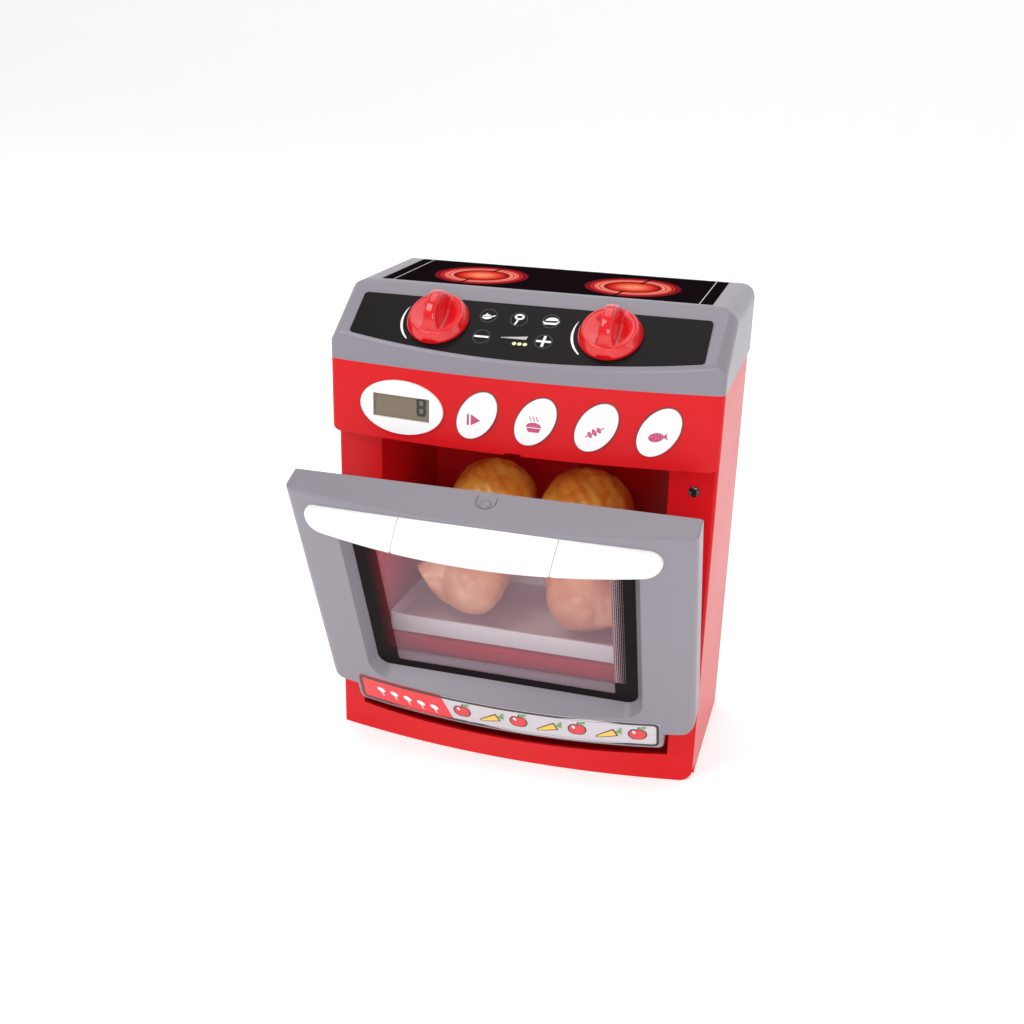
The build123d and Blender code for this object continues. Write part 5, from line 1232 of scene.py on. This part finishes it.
# ------------------------------------------------------------------ door
@dataclass
class Handle:
    """White bar in three pieces with a full, rounded section."""

    half: float = 105.3
    mid: float = -3.3
    top: tuple[float, float] = (1.0, 9.0)
    low: tuple[float, float] = (32.5, 26.5)
    thick: float = 5.5
    end: float = 9.5
    seams: tuple[tuple[float, float], tuple[float, float]] = ((-46.0, -55.0), (46.5, 39.5))
    seam_gap: float = 0.35
    groove_wide: float = 1.1
    groove_deep: float = 0.7
    tip_gap: float = 0.02
    slimmest: float = 0.02
    back_lift: float = 0.02
    columns: int = 110
    rows: int = 34

    def piece(self, left: tuple[float, float], right: tuple[float, float]) -> Surface:
        """Work out one piece between two slanted ends.

        Across the bar q runs from its upper edge to its lower one, and the lift off
        the door is thick * (1 - |2q - 1|^3)^(1/2.2), so the face is full in the
        middle and rolls over at both edges. Towards the tips the height shrinks by
        sqrt(1 - tip^2.3), close to a quarter ellipse, and the lift by that to the
        power 0.8. Near a seam the lift drops a little, which leaves a groove.

        Args:
            left: x of the left end at the upper and the lower edge.
            right: the same for the right end.

        Returns:
            The closed piece.
        """
        along = 0.5 - 0.5 * np.cos(np.linspace(0.0, math.pi, self.columns))
        q = 0.5 - 0.5 * np.cos(np.linspace(0.0, math.pi, self.rows))
        u, v = np.meshgrid(along, q, indexing="ij")
        x = (left[0] + (left[1] - left[0]) * v) * (1 - u) + (right[0] + (right[1] - right[0]) * v) * u
        share = ((x - self.mid) / self.half) ** 2
        s_top = self.top[0] + (self.top[1] - self.top[0]) * share
        s_low = self.low[0] + (self.low[1] - self.low[0]) * share
        tip = np.clip((np.abs(x - self.mid) - (self.half - self.end)) / self.end, 0.0, 1.0)
        shrink = np.maximum(np.sqrt(np.clip(1 - tip ** 2.3, 0.0, 1.0)), self.slimmest)
        middle = (s_top + s_low) / 2 - tip
        reach = (s_low - s_top) / 2 * shrink
        s = middle + (2 * v - 1) * reach
        face = np.clip(1 - np.abs(2 * v - 1) ** 3.0, 0.0, 1.0) ** (1 / 2.2)
        lift = self.thick * face * shrink ** 0.8
        for end, seam in ((left, u), (right, 1 - u)):
            if abs(end[0] - self.mid) < self.half - 1:
                near = np.clip(1 - seam * abs(right[0] - left[0]) / self.groove_wide, 0.0, 1.0)
                lift = lift - np.minimum(self.groove_deep * near ** 2, 0.5 * lift)
        front = DOOR.front(x, s, lift)
        back = DOOR.front(x, s, np.full_like(x, self.back_lift))
        loops = np.concatenate([front, back[:, ::-1][:, 1:-1]], 1)
        return lofted(loops, (loops[0].mean(0), loops[-1].mean(0)))

    def build(self) -> None:
        """Make the three pieces."""
        g = self.seam_gap / 2
        (la, lb), (ra, rb) = self.seams
        first, last = self.mid - self.half + self.tip_gap, self.mid + self.half - self.tip_gap
        ends = {
            "handle_left": ((first, first), (la - g, lb - g)),
            "handle_grip": ((la + g, lb + g), (ra - g, rb - g)),
            "handle_right": ((ra + g, rb + g), (last, last))}
        for node, (left, right) in ends.items():
            made = make_piece(node + "_skin", self.piece(left, right), WHITE.build(), "door",
                              angle=60.0)
            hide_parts(node)


@dataclass
class StripMotifs:
    """Prints of the door's strip: a dark outline, apples and carrots in turn, and plain marks."""

    half: float = 99.5
    top: float = 155.6
    low: float = 178.2
    line: float = 1.9
    radius: float = 3.4
    inset: float = 0.3
    corner_drop: float = 1.2
    frame_step: float = 4.0
    proud: float = 0.4
    grow: float = 1.1
    count: int = 7
    first: float = -27.0
    step: float = 18.8
    sway: float = 1.3
    marks: int = 5
    first_mark: float = -84.0
    mark_step: float = 9.4

    def place(self, x: np.ndarray, s: np.ndarray, lift: np.ndarray) -> np.ndarray:
        """Carry a place on the strip, s measured downwards as -s, to its face."""
        return DOOR.front(x, -s, lift + self.proud)

    def frame(self, print_: Print) -> None:
        """Draw the outline as a band between two round boxes, in bars and corners.

        Args:
            print_: the strip's print.
        """
        middle = (0.0, -(self.top + self.low) / 2)
        width, height = 2 * (self.half - self.inset), self.low - self.top - 2 * self.inset
        outer = rounded_box(middle, (width, height), self.radius)
        inner = rounded_box(middle, (width - 2 * self.line, height - 2 * self.line),
                            self.radius - self.corner_drop)
        count = len(outer)
        for k in range(count):
            n = (k + 1) % count
            steps = max(2, int(np.linalg.norm(outer[n] - outer[k]) / self.frame_step))
            t = np.linspace(0.0, 1.0, steps)[:, None]
            rim = outer[k] * (1 - t) + outer[n] * t
            hole = inner[k] * (1 - t) + inner[n] * t
            print_.ink(DARK_INK, 1, np.vstack([rim, hole[::-1]]))

    def carrot(self, print_: Print, x: float, y: float) -> None:
        """Draw a carrot that leans to the right.

        Args:
            print_: where it is drawn.
            x: middle across.
            y: middle up.
        """
        t = np.linspace(0.0, 1.0, 16)
        path = np.stack([x - 6.5 + 11.5 * t, y - 3.4 + 5.2 * t], -1)
        print_.ink(DARK_INK, 1, stroke(path, 0.9 + 5.6 * t ** 0.7))
        inside = path[1:-1]
        print_.ink(GOLD_INK, 2, stroke(inside, 0.2 + 4.7 * t[1:-1] ** 0.75))
        for k in (-1, 0, 1):
            leaf = np.array([[x + 5.0, y + 1.9], [x + 8.3, y + 3.6 + 2.2 * k]])
            print_.ink(GREEN_INK, 1, stroke(leaf, np.array([0.8, 1.5])))

    def apple(self, print_: Print, x: float, y: float) -> None:
        """Draw an apple with a leaf: a disc with a dip under the stalk and one at the foot.

        Each dip is a bell curve of the angle.

        Args:
            print_: where it is drawn.
            x: middle across.
            y: middle up.
        """
        t = np.linspace(0.0, FULL_TURN, 48, endpoint=False)
        dip = 1.1 * np.exp(-((t - math.pi / 2) / 0.35) ** 2)
        foot = 0.5 * np.exp(-((t - 1.5 * math.pi) / 0.4) ** 2)
        r = 5.4 - dip - foot
        body = np.stack([x + r * np.cos(t), y - 1.0 + 0.95 * r * np.sin(t)], -1)
        print_.ink(DARK_INK, 1, body)
        middle = np.array([x, y - 1.0])
        print_.ink(RED_INK, 2, middle + (body - middle) * 0.86)
        print_.ink(WHITE_INK, 3, ellipse((x - 2.0, y + 0.8), (0.8, 1.4), 28.0, count=16))
        print_.ink(DARK_INK, 1, stroke(np.array([[x, y + 2.4], [x + 0.8, y + 5.6]]), 0.7))
        print_.ink(GREEN_INK, 1, ellipse((x + 3.0, y + 4.9), (2.3, 1.0), 18.0, count=18))

    def build(self) -> None:
        """Lay the outline, the row of motifs and the row of plain white marks on the red end."""
        print_ = Print(self.place, "door", "strip_print", thick=0.05)
        self.frame(print_)
        level = -(self.top + self.low) / 2
        for k in range(self.count):
            alone = Print(self.place, "door", "strip_print")
            (self.carrot if k % 2 else self.apple)(alone, 0.0, 0.0)
            spot = np.array((self.first + self.step * k, level + self.sway * (1 - 2 * (k % 2))))
            for (ink, layer), outlines in alone.plates.items():
                grown = [spot + self.grow * outline for outline in outlines]
                print_.ink(alone.inks[ink], layer, *grown)
        for k in range(self.marks):
            x, y = self.first_mark + self.mark_step * k, level - 0.9 * k + 1.6
            print_.ink(WHITE_INK, 1, ellipse((x, y), (1.9, 2.9), 60.0, count=20))
            print_.ink(WHITE_INK, 1, stroke(np.array([[x, y - 2.0], [x + 1.4, y - 5.6]]), 0.7))
        print_.build("strip_art")


@dataclass
class Door:
    """The window door with its handle and prints."""

    handle: Handle = field(default_factory=Handle)
    strip: StripMotifs = field(default_factory=StripMotifs)

    def build(self) -> None:
        """Make the handle and prints and dress the door's CAD nodes."""
        self.handle.build()
        self.strip.build()
        dress("door_frame", GREY.build())
        dress("door_inner", GREY.build())
        dress("window_pane", Pane().build())
        dress("window_border", BorderPrint().build())
        dress("door_strip", StripPrint().build())


# ------------------------------------------------------------------ birds on the spit
@dataclass(frozen=True)
class Bird:
    """One play bird, roasted on one side of its seam and pale on the other."""

    word: str
    x: float
    roast: tuple[Lump, ...]
    raw: tuple[Lump, ...]
    axle: tuple[float, float] = (-22.0, 131.0)
    tilt: float = 24.0
    blend: float = 3.2
    rings: int = 84
    around: int = 176
    core: float = 7.0
    start: float = 60.0
    limit: float = 53.9
    seam_gap: float = 0.05

    def reach(self, rays: np.ndarray, lumps: tuple[Lump, ...]) -> np.ndarray:
        """Find how far the skin is along each ray from the middle of the axle.

        The field is the soft union of balls, -k log(sum(exp(-(|p - c| - r) / k))).
        A point starts outside on each ray and steps inwards by the field's value.

        Args:
            rays: unit directions, shape (..., 3).
            lumps: offset and radius of each ball.

        Returns:
            The distance along each ray.
        """
        far = np.full(rays.shape[:-1], self.start)
        balls = np.array(lumps, float)
        for _ in range(70):
            points = rays * far[..., None]
            gaps = np.linalg.norm(points[..., None, :] - balls[:, :3], axis=-1) - balls[:, 3]
            depth = -self.blend * np.log(np.exp(-gaps / self.blend).sum(-1) + 1e-12)
            far = np.clip(far - np.clip(depth, -4.0, 4.0) * 0.8, self.core, self.start)
        return far

    def creases(self, rays: np.ndarray, far: np.ndarray) -> np.ndarray:
        """Work out folds and lumps of skin: two products of slow sine waves, added up.

        Args:
            rays: unit directions, shape (..., 3).
            far: distance of the skin along each ray.

        Returns:
            What to add to the distance.
        """
        p = rays * far[..., None]
        a = np.sin(p[..., 0] * 0.21 + 1.7 * np.sin(p[..., 2] * 0.13)) * np.sin(p[..., 1] * 0.24 + 0.6)
        b = np.sin(p[..., 0] * 0.53 + p[..., 1] * 0.37) * np.sin(p[..., 2] * 0.49 + p[..., 0] * 0.2)
        return 0.55 * a + 0.28 * b

    def half(self, side: float, lumps: tuple[Lump, ...]) -> Surface:
        """Work out one half as distances along rays over half a sphere.

        Rays run from the pole, square to the seam, down to the seam plane; the seam
        face is closed by a fan to the axle.

        Args:
            side: 1 for the half above the seam and -1 for the one below.
            lumps: its balls.

        Returns:
            The closed half.
        """
        t = math.pi / 2 * np.linspace(0.0, 1.0, self.rings + 1)[1:] ** 0.92
        p = np.linspace(0.0, FULL_TURN, self.around, endpoint=False)
        down, turn = np.meshgrid(t, p, indexing="ij")
        local = np.stack([np.sin(down) * np.cos(turn), np.sin(down) * np.sin(turn) * side,
                          np.cos(down) * side], -1)
        lean = math.radians(self.tilt)
        rays = local.copy()
        rays[..., 1] = local[..., 1] * math.cos(lean) - local[..., 2] * math.sin(lean)
        rays[..., 2] = local[..., 1] * math.sin(lean) + local[..., 2] * math.cos(lean)
        far = self.reach(rays, lumps)
        for _ in range(3):
            wide = np.roll(far, 1, 1) + np.roll(far, -1, 1)
            tall = np.vstack([far[:1], far[:-1]]) + np.vstack([far[1:], far[-1:]])
            far = 0.5 * far + 0.125 * (wide + tall)
        far = np.minimum(far + self.creases(rays, far), self.limit)
        points = rays * far[..., None]
        offset = np.array([self.x, self.axle[0], self.axle[1]])
        seam = offset + np.array([0.0, -math.sin(lean), math.cos(lean)]) * side * self.seam_gap
        return lofted(points + seam, (points[0].mean(0) + seam, seam))

    def build(self) -> None:
        """Make both halves and hide the plain ones."""
        halves = (("roast", 1.0, self.roast, ROAST), ("raw", -1.0, self.raw, RAW))
        for word, side, lumps, skin in halves:
            surface = self.half(side, lumps)
            made = make_piece(f"{self.word}_bird_{word}", surface, skin.build(), "spit",
                              angle=50.0)
            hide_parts(f"chicken_{word}_{self.word}")


# ------------------------------------------------------------------ plain finishes of the rest
NODE_FINISHES: dict[Moulding, tuple[str, ...]] = {
    RED: ("rear_housing", "front_frame", "base_plate", "battery_cover", "fascia", "oven_liner"),
    GREY: ("hob_cap",),
    WHITE: ("lcd_bezel", "button_1", "button_2", "button_3", "button_4"),
    TRAY_WHITE: ("tray",),
    BLACK: ("gearbox", "door_switch", "power_slider", "power_switch", "speaker"),
    PLUNGER_BLACK: ("door_switch_plunger",),
    SHEET_BLACK: ("control_panel",),
    LCD_GLASS: ("lcd_module",),
    STEEL: ("base_screws", "cap_screws", "knob_screw_left", "knob_screw_right", "hinge_pins",
            "door_screws", "liner_screws", "spit_axle", "idler_clip", "drive_motor",
            "knob_washer_left", "knob_washer_right", "battery_contacts"),
    BRASS: ("drive_pinion", "spit_bushes"),
    GEAR: ("spit_gear", "idler_gear"),
    BOARD: ("burner_board_left", "burner_board_right", "main_board"),
    RUBBER: ("button_mat",),
    CELL: ("battery_cells",),
    LAMP: ("oven_lamp",),
}


# ------------------------------------------------------------------ studio
@dataclass
class Studio:
    """Pale floor that curves up into a wall, soft lights and the camera."""

    camera_place: Spot = (0.19328, -0.76609, 0.44516)
    yaw: float = 15.81
    pitch: float = 20.88
    roll: float = 1.58
    lens: float = 44.383
    aim: Spot = (0.0, -0.04, 0.15)
    front_aim: Spot = (0.0, -0.04, 0.12)
    paper_glow: float = 0.36
    surround: float = 0.45

    def camera(self) -> None:
        """Place the camera: it looks along yaw and pitch and leans by roll."""
        data = bpy.data.cameras.new("camera")
        data.lens = self.lens
        data.sensor_width = 36.0
        data.clip_start = 0.01
        made = bpy.data.objects.new("camera", data)
        a, p, r = (math.radians(v) for v in (self.yaw, self.pitch, self.roll))
        ahead = Vector((-math.sin(a) * math.cos(p), math.cos(a) * math.cos(p), -math.sin(p)))
        right = Vector((math.cos(a), math.sin(a), 0.0))
        up = right.cross(ahead)
        side = right * math.cos(r) + up * math.sin(r)
        above = up * math.cos(r) - right * math.sin(r)
        turn = Matrix((side, above, -ahead)).transposed().to_4x4()
        made.matrix_world = Matrix.Translation(self.camera_place) @ turn
        bpy.context.scene.collection.objects.link(made)
        bpy.context.scene.camera = made

    def area(self, name: str, place: Spot, aim: Spot, size: tuple[float, float],
             power: float) -> None:
        """Hang one soft light.

        Args:
            name: its name.
            place: where it hangs.
            aim: what it points at.
            size: its width and height.
            power: its power in watts.
        """
        data = bpy.data.lights.new(name, "AREA")
        data.shape = "RECTANGLE"
        data.size, data.size_y = size
        data.energy = power
        made = bpy.data.objects.new(name, data)
        made.location = place
        made.rotation_euler = (Vector(aim) - Vector(place)).to_track_quat("-Z", "Y").to_euler()
        bpy.context.scene.collection.objects.link(made)

    def floor(self) -> None:
        """Make the floor: a strip that runs level, turns up on a quarter circle and rises.

        With s along the strip, the height is 0 on the flat, r(1 - cos(a)) on the
        bend and then rises straight.
        """
        flat, radius, tall = 3.0, 1.6, 4.0
        a = np.linspace(0.0, math.pi / 2, 25)
        y = np.concatenate([[-6.0], flat + radius * np.sin(a), [flat + radius]])
        z = np.concatenate([[0.0], radius * (1 - np.cos(a)), [radius + tall]])
        x = np.array([-9.0, 9.0])
        grid = np.stack(np.meshgrid(x, y, indexing="ij"), -1)
        points = np.concatenate([grid, np.broadcast_to(z, grid.shape[:2])[..., None]], -1)
        n = len(y)
        faces = [(k, n + k, n + k + 1, k + 1) for k in range(n - 1)]
        mesh = bpy.data.meshes.new("floor")
        mesh.from_pydata(points.reshape(-1, 3).tolist(), [], faces)
        mesh.polygons.foreach_set("use_smooth", np.ones(len(faces), bool))
        made = bpy.data.objects.new("floor", mesh)
        paper = Moulding("floor_paper", (250, 250, 250), (247, 247, 247), rough=(0.7, 0.8),
                         coat=0.0, grain=0.0)
        sheet = paper.build()
        shader = sheet.node_tree.nodes["Principled BSDF"]
        shader.inputs["Emission Color"].default_value = (1.0, 1.0, 1.0, 1.0)
        shader.inputs["Emission Strength"].default_value = self.paper_glow
        mesh.materials.append(sheet)
        bpy.context.scene.collection.objects.link(made)

    def build(self) -> None:
        """Put up the camera, the floor, the lights and a white surround."""
        self.camera()
        self.floor()
        self.area("key", (-0.9, -1.3, 1.7), self.aim, (1.0, 1.0), 17.0)
        self.area("fill", (1.5, -0.5, 0.7), self.aim, (0.9, 1.3), 4.5)
        self.area("overhead", (0.0, 0.3, 2.2), self.aim, (1.8, 1.8), 16.0)
        self.area("front", (0.25, -1.6, 0.55), self.front_aim, (0.7, 0.5), 6.0)
        world = bpy.data.worlds.new("surround")
        world.use_nodes = True
        sky = world.node_tree.nodes["Background"]
        sky.inputs["Color"].default_value = (1.0, 1.0, 1.0, 1.0)
        sky.inputs["Strength"].default_value = self.surround
        bpy.context.scene.world = world
        bpy.context.scene.view_settings.view_transform = "Standard"


def main() -> None:
    """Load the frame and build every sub-assembly."""
    logging.basicConfig(level=logging.INFO, format="%(name)s: %(message)s")
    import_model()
    Studio().build()
    for finish, nodes in NODE_FINISHES.items():
        for node in nodes:
            dress(node, finish.build())
    dress("hob_plate", HobPrint().build())
    ControlPanel().build()
    Fascia().build()
    Door().build()
    left = Bird("left", -30.0, ((0, 3, 24.5, 28.5), (-10, -10, 14, 18), (11, -9, 15, 17)),
                ((-10, 3, -20, 25), (-7, -19, -27, 20.5), (-38, -21, -31, 16)))
    right = Bird("right", 32.0, ((0, 3, 22.5, 31), (-12, -10, 14, 18), (13, -9, 15, 18)),
                 ((0, 4, -21, 26), (2, -18, -28, 20.5), (23, -14, -33, 15)))
    left.build()
    right.build()


if __name__ == "__main__":
    main()
